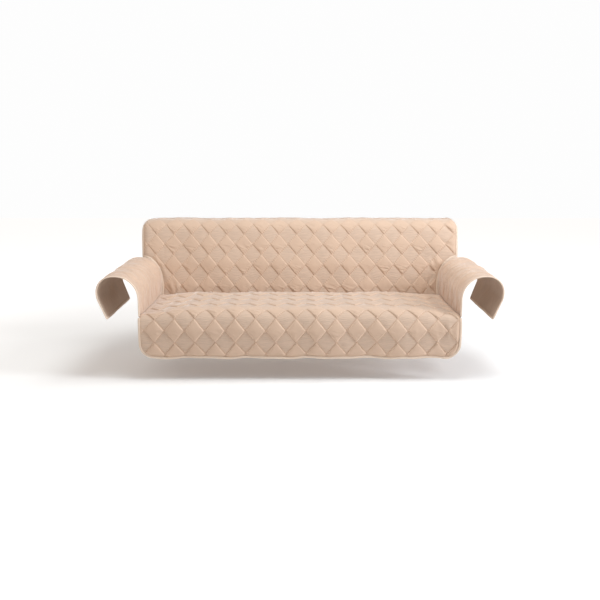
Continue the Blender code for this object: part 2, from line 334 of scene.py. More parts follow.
def smooth_step(value: Array) -> Array:
    """0 below 0, 1 above 1, and a cubic rise between."""
    held = np.clip(value, 0.0, 1.0)
    return held * held * (3.0 - 2.0 * held)


def rolled(share: Array) -> Array:
    """How far a quarter circle of radius 1 falls away at this share of its width."""
    return 1.0 - np.sqrt(1.0 - share**2)


def rounded_corner(inside: Array, radius: float) -> Array:
    """How far a quarter circle draws the side in, at this distance from the hem."""
    rest = np.clip(radius - inside, 0.0, radius)
    return radius - np.sqrt(radius**2 - rest**2)


def bell(away: Array, half: float, power: int = 2) -> Array:
    """1 in the middle, falling away round the half width; a higher power is squarer."""
    return np.exp(-((away / half) ** power))


def long_bell(x: Array, y: Array, turn: Array | float, length: float, width: float) -> Array:
    """A bell that reaches further along one line than across it.

    Args:
        x: Distance across from its middle.
        y: Distance along from its middle.
        turn: How far its line is turned, in radians.
        length: Its half length on that line.
        width: Its half width.

    Returns:
        1 in the middle, falling away to 0.
    """
    along = x * np.cos(turn) + y * np.sin(turn)
    across = y * np.cos(turn) - x * np.sin(turn)
    return np.exp(-((along / length) ** 2) - (across / width) ** 2)


def slow_waves(u: Array, s: Array, lengths: Sequence[float], shift: float) -> Array:
    """Two crossing waves, because cloth never lies quite even.

    Args:
        u: Flat places across.
        s: Flat places along.
        lengths: The wavelengths along u and s of the first wave, then of the second.
        shift: The second wave's start, in radians.

    Returns:
        Their sum, from -2 to 2.
    """
    first_u, first_s, second_u, second_s = lengths
    first = np.sin(FULL_TURN * (u / first_u + s / first_s))
    return first + np.sin(FULL_TURN * (u / second_u - s / second_s) + shift)


def travelled(points: Array) -> Array:
    """How far along a line of points each one lies."""
    return np.concatenate(([0.0], np.cumsum(np.linalg.norm(np.diff(points, axis=0), axis=1))))


# ---- The quilting ----


@dataclass(frozen=True)
class Quilting:
    """The diamond stitching: its lattice, how far each diamond puffs, and its small unevenness.

    Lines of stitching lie where u/width + s/height or u/width - s/height is a whole number. Diamonds
    come in two kinds by turns: smooth full ones and flatter ribbed ones.
    """

    width: float = 0.112
    height: float = 0.133
    stitch: float = 0.0022
    puff: float = 0.0098
    flat_share: float = 0.34
    wall: float = 0.0040
    dome: float = 0.30
    flat_profile: float = 0.85
    gather_in: float = 0.55
    gather_ease: float = 0.040
    unevenness: float = 0.25
    sag: float = 0.10
    crease_height: float = 0.0030
    crease_length: float = 0.028
    crease_width: float = 0.0080
    crease_turns: Pair = (0.05, 0.60)
    crease_asides: Pair = (-0.016, 0.016)
    crease_belows: Pair = (-0.004, 0.034)
    crease_flat_share: float = 0.35
    edge_flat: float = 0.007
    edge_taper: float = 0.012
    seed: int = 11
    table: int = 61
    CREASE_DRAWS: ClassVar[tuple[int, int]] = (1, 6)

    @property
    def seam_spacing(self) -> float:
        """The straight distance between two parallel lines of stitching."""
        return self.width * self.height / math.hypot(self.width, self.height)

    @property
    def side(self) -> float:
        """The length of a diamond's side."""
        return math.hypot(self.width, self.height) / 2.0

    def phases(self, x: Length, y: Length) -> tuple[Length, Length]:
        """How many lines of each slant lie between the lattice's start and these places."""
        return x / self.width + y / self.height, x / self.width - y / self.height

    def _drawn(self, number: int, rising: Array, falling: Array, low: float, high: float) -> Array:
        """One seeded random value for each diamond.

        Args:
            number: Which of the diamond's values this is.
            rising: Rising phase.
            falling: Falling phase.
            low: Least value.
            high: Greatest value.

        Returns:
            The value of the diamond that each place lies in.
        """
        values = np.random.default_rng(self.seed + number).uniform(low, high, (self.table, self.table))
        i = np.floor(rising).astype(int) % self.table
        j = np.floor(falling).astype(int) % self.table
        return values[i, j]

    def gathered(self, x: Array, y: Array, share: Array) -> tuple[Array, Array]:
        """Move grid places towards the stitching, so that the steep sides of the diamonds are fine.

        Each phase is drawn to its nearest whole number by a sine of itself.

        Args:
            x: Distance across from the lattice's column.
            y: Distance along from the lattice's row.
            share: 0 where places stay, 1 where they move fully.

        Returns:
            The distances by which the places move, across and along.
        """
        pulls = [-self.gather_in * np.sin(FULL_TURN * phase) / FULL_TURN for phase in self.phases(x, y)]
        across = share * self.width * (pulls[0] + pulls[1]) / 2.0
        return across, share * self.height * (pulls[0] - pulls[1]) / 2.0

    def relief(self, x: Array, y: Array, pressed: Array) -> Array:
        """Thickness of the quilt at flat places.

        The arch of a diamond is the product of the sines of its two phases. A ribbed diamond is that
        arch, raised to the profile's power. A smooth one has steep sides, each the hyperbolic tangent
        of the distance from its seam, round a low dome. Each diamond is scaled by its own random
        factor, sags a little towards its lower end, and carries two short soft creases that fall to
        the right in its lower half.

        Args:
            x: Distance across from the lattice's column.
            y: Distance along from the lattice's row.
            pressed: 0 where the cloth is pressed flat, 1 where it is free.

        Returns:
            The thickness in metres.
        """
        rising, falling = self.phases(x, y)
        flat = (np.floor(rising) + np.floor(falling)) % 2 == 0
        arch = np.abs(np.sin(math.pi * rising) * np.sin(math.pi * falling))
        away = [np.abs(phase - np.round(phase)) * self.seam_spacing for phase in (rising, falling)]
        full = np.tanh(away[0] / self.wall) * np.tanh(away[1] / self.wall) * (1.0 - self.dome * (1.0 - arch))
        crown = np.where(flat, arch**self.flat_profile, full)
        share = np.where(flat, self.flat_share, 1.0)
        share = share * (1.0 + self.unevenness * self._drawn(0, rising, falling, -0.5, 0.5))
        middle_r, middle_f = np.floor(rising) + 0.5, np.floor(falling) + 0.5
        from_x = x - (middle_r + middle_f) / 2.0 * self.width
        from_y = y - (middle_r - middle_f) / 2.0 * self.height
        share = share * (1.0 + self.sag * from_y / (self.height / 2.0))
        height = (self.puff - self.stitch) * crown * share
        for number in self.CREASE_DRAWS:
            turn = self._drawn(number, rising, falling, *self.crease_turns)
            aside = self._drawn(number + 1, rising, falling, *self.crease_asides)
            below = self._drawn(number + 2, rising, falling, *self.crease_belows)
            lift = self._drawn(number + 3, rising, falling, -1.0, 1.0)
            lift = lift * np.where(flat, self.crease_flat_share, 1.0)
            ridge = long_bell(from_x - aside, from_y - below, turn, self.crease_length, self.crease_width)
            height = height + self.crease_height * lift * ridge * arch
        return self.stitch + np.maximum(height, 0.0) * pressed


@dataclass(frozen=True)
class Crease:
    """A soft ridge or trough: its middle on the flat panel, its line's turn, and its half sizes."""

    place: str
    u: float
    s: float
    turn: float
    length: float
    width: float
    lift: float


def crease_lift(creases: Sequence[Crease], u: Array, s: Array) -> Array:
    """Sum the creases' heights, each a long bell that falls away along and across its line.

    Args:
        creases: The creases.
        u: Flat places across.
        s: Flat places along.

    Returns:
        The height that they add.
    """
    lift = np.zeros(np.broadcast(u, s).shape)
    for crease in creases:
        ridge = long_bell(u - crease.u, s - crease.s, crease.turn, crease.length, crease.width)
        lift += crease.lift * ridge
    return lift


# ---- The form ----


@dataclass(frozen=True)
class Corner:
    """A corner of a section: what it is, where it is, and the radius that rounds it."""

    place: str
    across: float
    height: float
    radius: float


class Run:
    """A section's path: straight runs whose corners are turned by arcs, read by its length."""

    ARC_STEP: ClassVar[float] = math.radians(2)
    SEARCH_POINTS: ClassVar[int] = 6000

    def __init__(self, corners: Sequence[Corner]) -> None:
        """Lay out the path.

        Args:
            corners: The section's corners from one end to the other.
        """
        places = [np.array((corner.across, corner.height)) for corner in corners]
        points = [places[0]]
        for before, place, after, corner in zip(places, places[1:], places[2:], corners[1:]):
            points.extend(self._arc(before, place, after, corner.radius))
        points.append(places[-1])
        self.points = np.array(points)
        self.lengths = travelled(self.points)
        self.length = float(self.lengths[-1])

    def _arc(self, before: Array, place: Array, after: Array, radius: float) -> Array:
        """The arc that touches both straight runs at a corner.

        Args:
            before: The corner before.
            place: This corner.
            after: The corner after.
            radius: The arc's radius.

        Returns:
            Points on the arc, in order.
        """
        arriving = (place - before) / np.linalg.norm(place - before)
        leaving = (after - place) / np.linalg.norm(after - place)
        turn = math.acos(float(np.clip(arriving @ leaving, -1.0, 1.0)))
        inward = (leaving - arriving) / np.linalg.norm(leaving - arriving)
        forward = (arriving + leaving) / np.linalg.norm(arriving + leaving)
        centre = place + inward * radius / math.cos(turn / 2)
        angles = np.linspace(-turn / 2, turn / 2, max(2, math.ceil(turn / self.ARC_STEP)) + 1)[:, None]
        return centre + radius * (forward * np.sin(angles) - inward * np.cos(angles))

    def at(self, s: Array) -> Array:
        """Points at these lengths; past either end the last straight run goes on."""
        held = np.clip(s, 0.0, self.length)
        points = [np.interp(held, self.lengths, axis) for axis in self.points.T]
        first = self.points[1] - self.points[0]
        last = self.points[-1] - self.points[-2]
        ahead = np.maximum(s - self.length, 0.0)[..., None] * last / np.linalg.norm(last)
        behind = np.minimum(s, 0.0)[..., None] * first / np.linalg.norm(first)
        return np.stack(points, axis=-1) + ahead + behind

    def direction(self, s: Array, reach: float = 0.004) -> Array:
        """The unit direction of travel at these lengths."""
        chord = self.at(s + reach) - self.at(s - reach)
        return chord / np.linalg.norm(chord, axis=-1, keepdims=True)

    def length_at(self, across: float, height: float) -> float:
        """The length of the path's point that lies nearest to this place."""
        dense = np.linspace(0.0, self.length, self.SEARCH_POINTS)
        away = np.linalg.norm(self.at(dense) - (across, height), axis=1)
        return float(dense[np.argmin(away)])


class Panel(ABC):
    """A cloth panel: its flat outline, the lattice drawn on it, and how it is draped."""

    ROWS: ClassVar[int] = 2000
    OUTLINE_ROWS: ClassVar[int] = 6001
    OUTLINE_COLUMNS: ClassVar[int] = 400

    def __init__(self, length: float, node: float, column: float, fullness: float = 1.0) -> None:
        """Set the panel's flat frame.

        Args:
            length: The panel's length along s.
            node: The s of a row of stitched crossings.
            column: The u of a column of stitched crossings.
            fullness: How far its diamonds puff, as a share of the quilting's own puff.
        """
        self.length = length
        self.node = node
        self.column = column
        self.fullness = fullness

    @abstractmethod
    def edges(self, s: Array) -> tuple[Array, Array]:
        """The panel's low and high ends on each row."""

    @abstractmethod
    def drape(self, u: Array, s: Array) -> tuple[Array, Array]:
        """Points on the underside of the cloth, and the outward direction at each."""

    def freedom(self, s: Array) -> Array:
        """How freely the quilting puffs out along the panel; fully, unless a panel says less."""
        return np.ones_like(s)

    def inside(self, u: Array, s: Array) -> Array:
        """Distance in from the nearest edge, measured along u or s."""
        low, high = self.edges(s)
        return np.minimum(np.minimum(s, self.length - s), np.minimum(u - low, high - u))

    def pressed(self, u: Array, s: Array, quilting: Quilting) -> Array:
        """0 at the edges and wherever the panel is held flat, 1 where it is free."""
        eased = smooth_step((self.inside(u, s) - quilting.edge_flat) / quilting.edge_taper)
        return eased * self.freedom(s) * self.fullness

    def flat_area(self) -> float:
        """The cut's flat area: its width summed along its length."""
        s = np.linspace(0.0, self.length, self.ROWS)
        low, high = self.edges(s)
        width = high - low
        return float(((width[1:] + width[:-1]) / 2 * np.diff(s)).sum())

    def widest(self) -> float:
        """The greatest width of the cut."""
        low, high = self.edges(np.linspace(0.0, self.length, self.ROWS))
        return float((high - low).max())

    def outline(self, step: float) -> Array:
        """The flat edge as a closed line of even steps.

        Args:
            step: The spacing of its points.

        Returns:
            Points (u, s): along the first row, the high end, the last row back, and the low end.
        """
        s = np.linspace(0.0, self.length, self.OUTLINE_ROWS)
        low, high = self.edges(s)
        ends = np.linspace(0.0, 1.0, self.OUTLINE_COLUMNS)[1:-1]
        first = np.stack((low[0] + (high[0] - low[0]) * ends, np.zeros_like(ends)), axis=1)
        last = np.stack((high[-1] + (low[-1] - high[-1]) * ends, np.full_like(ends, self.length)), axis=1)
        sides = np.stack((high, s), axis=1), np.stack((low, s), axis=1)[::-1]
        line = np.concatenate((first, sides[0], last, sides[1]))
        around = np.vstack((line, line[:1]))
        so_far = travelled(around)
        even = np.linspace(0.0, so_far[-1], round(so_far[-1] / step) + 1)[:-1]
        return np.stack([np.interp(even, so_far, axis) for axis in around.T], axis=1)


@dataclass(frozen=True)
class MainForm:
    """The sizes of the long panel, from the rear hem over the back and the seat to the front hem."""

    run: tuple[Corner, ...] = (
        Corner("rear hem", 0.960, 0.465, 0.0),
        Corner("rear edge of the top", 0.960, 0.848, 0.055),
        Corner("front edge of the top", 0.729, 0.848, 0.100),
        Corner("belly of the back", 0.632, 0.590, 0.400),
        Corner("crevice", 0.5442, 0.2845, 0.012),
        Corner("rear of the seat", 0.536, 0.4135, 0.035),
        Corner("middle of the seat", 0.250, 0.406, 0.900),
        Corner("front edge of the seat", 0.000, 0.391, 0.050),
        Corner("front hem", 0.000, 0.134, 0.0),
    )
    back_half_top: float = 1.013
    back_half_low: float = 1.000
    seat_half_front: float = 0.8868
    seat_half_rear: float = 0.8718
    crevice_half: float = 0.8665
    crevice_ease: float = 0.060
    roll_width: float = 0.042
    roll_reach: float = 0.92
    roll_slope: float = 2.0
    side_roll: float = 0.012
    top_roll: float = 0.028
    top_band_middle: float = 0.090
    top_band_half: float = 0.120
    front_corner: float = 0.075
    rear_corner: float = 0.060
    node_height: float = 0.3535
    node_column: float = -0.0225
    notch_top: float = 0.625
    notch_centre: float = 0.430
    crevice_flat: float = 0.022
    crevice_taper: float = 0.045
    droop_start: float = 0.600
    droop_lead: float = 0.120
    droop_rear_ease: float = 0.400
    droop_front: float = 0.100
    droop_front_ease: float = 0.200
    seat_droop: float = 0.032
    ripple_height: float = 0.0035
    ripple_length: float = 0.470
    front_bulge: float = 0.011
    bulge_place: float = 0.105
    bulge_half: float = 0.080
    crown_drop: float = 0.0090
    crown_half: float = 0.055
    crown_rise: float = 0.0030
    crown_back: float = 0.110
    crown_ease: float = 0.100
    hem_wave: float = 0.0028
    hem_wave_lengths: Pair = (0.31, 0.173)
    hem_wave_shift: float = 0.5
    hem_wave_second: float = 0.6
    gather_start: float = 0.065
    gather_start_ease: float = 0.02
    gather_end: float = 0.160
    gather_height: float = 0.0007
    gather_length: float = 0.0373
    gather_reach: float = 0.060
    taut_top: float = 0.15
    taut_middle: float = 0.050
    taut_half: float = 0.085
    back_fullness: float = 0.72
    seat_fullness: float = 0.82
    front_fullness: float = 1.30
    fullness_ease: float = 0.150
    crease_ease: float = 0.030
    arm_front: float = 0.004
    arm_rear: float = 0.640
    swell: float = 0.0022
    swell_lengths: tuple[float, float, float, float] = (0.61, 0.83, 0.37, 0.54)
    swell_shift: float = 1.3
    creases: tuple[Crease, ...] = (
        Crease("left gather, outer", -0.834, -0.098, 0.83, 0.040, 0.010, -0.0034),
        Crease("left gather, second", -0.812, -0.100, 1.05, 0.045, 0.009, 0.0030),
        Crease("left gather, third", -0.793, -0.100, 1.30, 0.045, 0.008, -0.0030),
        Crease("left gather, inner", -0.776, -0.104, 1.50, 0.045, 0.008, 0.0026),
        Crease("left gather, last", -0.757, -0.104, 1.62, 0.040, 0.008, -0.0022),
        Crease("left pull, upper", -0.888, -0.262, 1.42, 0.045, 0.009, -0.0032),
        Crease("left pull, lower", -0.868, -0.215, 1.25, 0.050, 0.011, 0.0030),
        Crease("left pull, side", -0.866, -0.330, 1.55, 0.045, 0.010, -0.0025),
        Crease("left wrinkle", -0.724, -0.240, 1.65, 0.035, 0.008, -0.0028),
        Crease("left bulge", -0.845, -0.160, 1.30, 0.070, 0.040, 0.0026),
        Crease("right fold, pale", 0.872, -0.272, 1.22, 0.040, 0.011, 0.0046),
        Crease("right fold, shadow", 0.850, -0.262, 1.30, 0.036, 0.009, -0.0034),
        Crease("right fold, inner", 0.836, -0.250, 1.35, 0.032, 0.009, 0.0024),
        Crease("right tuck into the arm", 0.856, -0.210, 0.10, 0.030, 0.008, -0.0058),
        Crease("right crease", 0.818, -0.140, 2.08, 0.070, 0.009, -0.0048),
        Crease("right crease, ridge", 0.836, -0.126, 2.08, 0.060, 0.012, 0.0032),
        Crease("right corner wrinkle", 0.826, -0.090, 1.15, 0.028, 0.008, -0.0028),
        Crease("right side tuck, first", 0.955, -0.498, 0.38, 0.030, 0.007, 0.0035),
        Crease("right side tuck, second", 0.955, -0.476, 0.38, 0.032, 0.007, -0.0035),
        Crease("right side tuck, third", 0.955, -0.398, 0.42, 0.030, 0.007, 0.0035),
        Crease("right side tuck, fourth", 0.952, -0.378, 0.42, 0.032, 0.007, -0.0030),
        Crease("left side tuck, first", -0.950, -0.470, -0.35, 0.030, 0.008, 0.0028),
        Crease("left side tuck, second", -0.950, -0.392, -0.30, 0.030, 0.008, -0.0025),
        Crease("seat wrinkle, rear right", 0.800, 0.150, 0.35, 0.060, 0.012, 0.0030),
        Crease("seat wrinkle, right", 0.770, 0.215, 0.25, 0.080, 0.014, -0.0025),
        Crease("seat wrinkle, front right", 0.740, 0.300, 0.15, 0.080, 0.016, 0.0016),
        Crease("seat wrinkle, rear left", -0.780, 0.160, -0.30, 0.070, 0.013, 0.0045),
        Crease("seat wrinkle, left", -0.760, 0.245, -0.20, 0.080, 0.015, -0.0040),
        Crease("seat wrinkle, middle", 0.120, 0.180, 0.05, 0.110, 0.016, -0.0025),
        Crease("seat wrinkle, middle left", -0.340, 0.210, -0.08, 0.120, 0.018, 0.0025),
        Crease("front pull, right", 0.760, 0.640, 1.35, 0.080, 0.016, -0.0035),
        Crease("front pull, far right", 0.820, 0.660, 1.50, 0.070, 0.014, 0.0030),
        Crease("front pull, left", -0.790, 0.650, 1.75, 0.080, 0.016, 0.0030),
        Crease("front fold, right shadow", 0.802, 0.688, 1.42, 0.034, 0.009, -0.0034),
        Crease("front fold, right pale", 0.824, 0.690, 1.48, 0.036, 0.009, 0.0038),
        Crease("front fold, low shadow", 0.744, 0.748, 1.50, 0.030, 0.009, -0.0026),
        Crease("front fold, low pale", 0.764, 0.750, 1.45, 0.030, 0.009, 0.0030),
        Crease("front fold, inner", 0.655, 0.700, 1.35, 0.034, 0.010, -0.0028),
    )


class MainPanel(Panel):
    """The long quilted panel over the back and the seat."""

    BACK_ROWS: ClassVar[int] = 400
    SEAT_ROWS: ClassVar[int] = 200

    def __init__(self, form: MainForm) -> None:
        """Measure the panel's run.

        Args:
            form: The panel's sizes.
        """
        self.form = form
        self.run = Run(form.run)
        corners = {corner.place: corner for corner in form.run}
        places = {name: self.run.length_at(at.across, at.height) for name, at in corners.items()}
        super().__init__(self.run.length, self.run.length_at(0.0, form.node_height), form.node_column)
        self.top_height = corners["front edge of the top"].height
        self.top = places["front edge of the top"]
        self.crevice = places["crevice"]
        self.seat_rear = places["rear of the seat"]
        self.front = places["front edge of the seat"]
        self.arm_end = self.run.length_at(form.arm_front, corners["front edge of the seat"].height)

    def full_half_width(self, s: Array) -> Array:
        """Half the back's width, as if its sides had no notches."""
        form = self.form
        height = self.run.at(s)[..., 1]
        flare = np.clip((height - form.notch_top) / (self.top_height - form.notch_top), 0.0, 1.0)
        flared = form.back_half_low + (form.back_half_top - form.back_half_low) * flare
        return np.where(s < self.top, form.back_half_top, flared)

    def half_width(self, s: Array) -> Array:
        """Half the width: the back, notched by a quarter ellipse at the arm, and then the seat."""
        form = self.form
        depth, height = np.moveaxis(self.run.at(s), -1, 0)
        level = np.clip((height - form.notch_centre) / (form.notch_top - form.notch_centre), 0.0, 1.0)
        notch = (form.back_half_low - form.crevice_half) * np.sqrt(1.0 - level**2)
        half = self.full_half_width(s) - np.where(s < self.top, 0.0, notch)
        rearward = np.clip((depth - form.arm_front) / (form.arm_rear - form.arm_front), 0.0, 1.0)
        seat = form.seat_half_front + (form.seat_half_rear - form.seat_half_front) * rearward
        ease = smooth_step((s - self.crevice) / form.crevice_ease)
        half = np.where(s > self.crevice, form.crevice_half + (seat - form.crevice_half) * ease, half)
        half -= rounded_corner(self.length - s, form.front_corner)
        return half - rounded_corner(s, form.rear_corner)

    def edges(self, s: Array) -> tuple[Array, Array]:
        """The panel's two ends, alike on both sides."""
        half = self.half_width(s)
        return -half, half

    def freedom(self, s: Array) -> Array:
        """Pressed flat in the crevice, taut over the back, most of all on its top, and slack in front."""
        form = self.form
        seat = form.back_fullness + (form.seat_fullness - form.back_fullness) * (s > self.crevice)
        front = smooth_step((s - self.front + form.fullness_ease / 2.0) / form.fullness_ease)
        slack = seat + (form.front_fullness - form.seat_fullness) * front
        free = smooth_step((np.abs(s - self.crevice) - form.crevice_flat) / form.crevice_taper)
        taut = bell(s - self.top + form.taut_middle, form.taut_half, 4)
        return slack * free * (1.0 - form.taut_top * taut)

    def drape(self, u: Array, s: Array) -> tuple[Array, Array]:
        """Lay the cloth over the back and the seat.

        Each point lies on the section at its length, moved outwards by the creases, the swell and
        the gathers above the crevice, and inwards where the back's sides roll away, by a quarter
        circle that is deepest at the top's corners. It is lowered towards the seat's sides. The
        front bulges over the cushion, whose front edge is rounded off, and ripples more towards its hem.

        Args:
            u: Flat places across.
            s: Flat places along.

        Returns:
            Points on the underside, and the outward direction at each.
        """
        form = self.form
        travel, place = self.run.direction(s), self.run.at(s)
        out = np.stack((np.zeros_like(s), travel[..., 1], -travel[..., 0]), axis=-1)
        rear = smooth_step((s - self.crevice + form.droop_lead) / form.droop_rear_ease)
        seat = rear * smooth_step((self.front + form.droop_front - s) / form.droop_front_ease)
        side = smooth_step((np.abs(u) - form.droop_start) / (form.seat_half_front - form.droop_start))
        top = bell(s - self.top + form.top_band_middle, form.top_band_half, 4)
        share = (np.abs(u) - self.full_half_width(s)) / form.roll_width + 1.0
        roll = rolled(np.clip(share, 0.0, 1.0) * form.roll_reach) / rolled(form.roll_reach)
        roll = roll + form.roll_slope * np.maximum(share - 1.0, 0.0)
        hang = smooth_step((s - self.front) / (self.length - self.front))
        eased = smooth_step((self.half_width(s) - np.abs(u)) / form.crease_ease)
        lift = crease_lift(form.creases, u, s - self.crevice) * eased
        above = self.crevice - s
        gathers = smooth_step((above - form.gather_start) / form.gather_start_ease)
        gathers = gathers * smooth_step((form.gather_end - above) / form.gather_reach)
        lift += form.gather_height * gathers * np.sin(FULL_TURN * u / form.gather_length) * eased
        waves = slow_waves(u, s, form.swell_lengths, form.swell_shift)
        lift += form.swell * waves * eased * self.freedom(s)
        lift -= (form.side_roll + (form.top_roll - form.side_roll) * top) * roll
        lift += form.ripple_height * hang * np.sin(FULL_TURN * u / form.ripple_length)
        lift += form.front_bulge * bell(s - self.front - form.bulge_place, form.bulge_half)
        soft = smooth_step((self.half_width(s) - np.abs(u)) / form.crown_ease)
        lift -= form.crown_drop * soft * bell(s - self.front, form.crown_half)
        lift += form.crown_rise * soft * bell(s - self.front + form.crown_back, form.crown_half)
        slow, quick = form.hem_wave_lengths
        wave = np.sin(FULL_TURN * u / slow + form.hem_wave_shift)
        wave = wave + form.hem_wave_second * np.sin(FULL_TURN * u / quick)
        height = place[..., 1] - form.seat_droop * seat * side + form.hem_wave * hang**2 * wave
        points = np.stack((u, place[..., 0], height), axis=-1)
        return points + out * lift[..., None] - ORIGIN, out

    def back_depth(self, height: Array) -> Array:
        """Depth of the back's face at these heights."""
        place = self.run.at(np.linspace(self.top, self.crevice, self.BACK_ROWS))[::-1]
        return np.interp(height, place[:, 1], place[:, 0])

    def seat_side_height(self, depth: Array) -> Array:
        """Height of the seat's side edge at these depths."""
        s = np.linspace(self.seat_rear, self.arm_end, self.SEAT_ROWS)
        points = self.drape(self.half_width(s), s)[0] + ORIGIN
        return np.interp(depth, points[::-1, 1], points[::-1, 2])


@dataclass(frozen=True)
class ArmForm:
    """The sizes of an arm's panel: a section at each end, and where it meets its neighbours."""

    front: tuple[Corner, ...] = (
        Corner("seat seam", 0.8895, 0.376, 0.0),
        Corner("inner shoulder", 0.8895, 0.5855, 0.125),
        Corner("outer shoulder", 1.1165, 0.5855, 0.088),
        Corner("outer side", 1.1165, 0.470, 0.110),
        Corner("outer hem", 1.0660, 0.3535, 0.0),
    )
    rear: tuple[Corner, ...] = (
        Corner("seat seam", 0.8745, 0.406, 0.0),
        Corner("inner shoulder", 0.8745, 0.6155, 0.125),
        Corner("outer shoulder", 1.1280, 0.6155, 0.100),
        Corner("outer side", 1.1280, 0.490, 0.110),
        Corner("outer hem", 1.0760, 0.3735, 0.0),
    )
    rear_gap: float = 0.0190
    seam_drop: float = 0.004
    seam_blend: float = 0.140
    crease_ease: float = 0.040
    swell: float = 0.0014
    swell_lengths: tuple[float, float, float, float] = (0.21, 0.47, 0.33, 0.39)
    fullness: float = 0.44
    creases: tuple[Crease, ...] = (
        Crease("front ripple", 0.130, 0.200, 1.45, 0.130, 0.018, 0.0035),
        Crease("middle ripple", 0.300, 0.260, 1.60, 0.150, 0.018, 0.0035),
        Crease("rear ripple", 0.450, 0.190, 1.50, 0.120, 0.018, -0.0035),
        Crease("rear pull, high", 0.520, 0.290, 1.30, 0.080, 0.014, 0.0018),
        Crease("rear pull, low", 0.545, 0.230, 1.20, 0.070, 0.014, -0.0016),
        Crease("inner pull", 0.060, 0.110, 1.35, 0.080, 0.014, -0.0020),
        Crease("middle pull", 0.230, 0.120, 1.70, 0.090, 0.015, 0.0022),
    )


class ArmPanel(Panel):
    """An arm's quilted panel: u is the depth behind the front, s runs over the arm from the seat."""

    def __init__(self, form: ArmForm, main: MainPanel, side: Side) -> None:
        """Measure both end sections.

        Args:
            form: The arm's sizes.
            main: The panel that it is sewn to.
            side: Which arm this is.
        """
        self.form = form
        self.main = main
        self.side = side
        self.front = Run(form.front)
        self.rear = Run(form.rear)
        super().__init__(self.front.length, 0.0, main.form.arm_front, form.fullness)

    def edges(self, s: Array) -> tuple[Array, Array]:
        """The straight front edge, and the rear edge, short of the back's sloping face."""
        height = self.rear.at(s * self.rear.length / self.length)[..., 1]
        return np.full_like(s, self.main.form.arm_front), self.main.back_depth(height) - self.form.rear_gap

    def drape(self, u: Array, s: Array) -> tuple[Array, Array]:
        """Lay the cloth over the arm.

        A point lies between the two end sections in the share of its depth. Near the seat its height
        follows the seat's side edge. It is moved outwards by the creases and by a swell, which starts
        elsewhere on each arm, so that the two aren't quite mirror images.

        Args:
            u: Depths behind the front.
            s: Flat places over the arm.

        Returns:
            Points on the underside, and the outward direction at each.
        """
        form, reach = self.form, self.main.form
        share = ((u - reach.arm_front) / (reach.arm_rear - reach.arm_front))[..., None]
        rear_s = s * self.rear.length / self.length
        place = self.front.at(s) * (1.0 - share) + self.rear.at(rear_s) * share
        at_seam = self.front.points[0, 1] * (1.0 - share) + self.rear.points[0, 1] * share
        seam = self.main.seat_side_height(u) - form.seam_drop
        free = smooth_step(s / form.seam_blend)
        place[..., 1] += (seam - at_seam[..., 0]) * (1.0 - free)
        travel = self.front.direction(s)
        outward = self.side.value
        out = np.stack((-travel[..., 1] * outward, np.zeros_like(s), travel[..., 0]), axis=-1)
        low, high = self.edges(s)
        eased = smooth_step(np.minimum(u - low, high - u) / form.crease_ease) * free
        waves = slow_waves(u, s, form.swell_lengths, outward)
        lift = (crease_lift(form.creases, u, s) + form.swell * waves) * eased
        points = np.stack((place[..., 0] * outward, u, place[..., 1]), axis=-1)
        return points + out * lift[..., None] - ORIGIN, out


# ---- Meshes ----


def added(name: str, data: bpy.types.ID) -> bpy.types.Object:
    """Put a new object into the scene, at the origin.

    Args:
        name: Its name.
        data: Its mesh, light or camera.

    Returns:
        The object.
    """
    made = bpy.data.objects.new(name, data)
    bpy.context.scene.collection.objects.link(made)
    return made


def triangles(*corners: NDArray | int) -> NDArray:
    """Triangles, one a row, from matching arrays of their three corners' numbers."""
    return np.stack(np.broadcast_arrays(*corners), axis=-1).reshape(-1, 3)


@dataclass
class Shell:
    """Triangles under construction: points, faces, and what the finishes read from them."""

    points: Array
    faces: NDArray[np.int64]
    layers: NDArray[np.int64]
    places: Array
    SHARP: ClassVar[float] = math.radians(32)

    def merged(self, digits: int = 6) -> "Shell":
        """Merge points that coincide, and drop the faces that this leaves without width."""
        _, first, number = np.unique(
            self.points.round(digits), axis=0, return_index=True, return_inverse=True
        )
        faces = number.reshape(-1)[self.faces]
        a, b, c = faces.T
        whole = (a != b) & (b != c) & (c != a)
        return Shell(self.points[first], faces[whole], self.layers[whole], self.places[first])

    def to_object(self, name: str, materials: Sequence[bpy.types.Material]) -> bpy.types.Object:
        """Make the finished piece.

        Args:
            name: The piece's name.
            materials: One material for each layer.

        Returns:
            The object, at the origin.
        """
        mesh = bpy.data.meshes.new(name)
        mesh.from_pydata(self.points, [], self.faces)
        for material in materials:
            mesh.materials.append(material)
        mesh.polygons.foreach_set("material_index", self.layers.astype(np.int32))
        stored = mesh.attributes.new(PLACE, "FLOAT_VECTOR", "POINT")
        stored.data.foreach_set("vector", self.places.astype(np.float32).ravel())
        mesh.shade_smooth()
        mesh.set_sharp_from_angle(angle=self.SHARP)
        mesh.update()
        piece = added(name, mesh)
        size = self.points.max(axis=0) - self.points.min(axis=0)
        LOG.info("%s: %d triangles, %.3f x %.3f x %.3f m", name, len(self.faces), *size)
        return piece


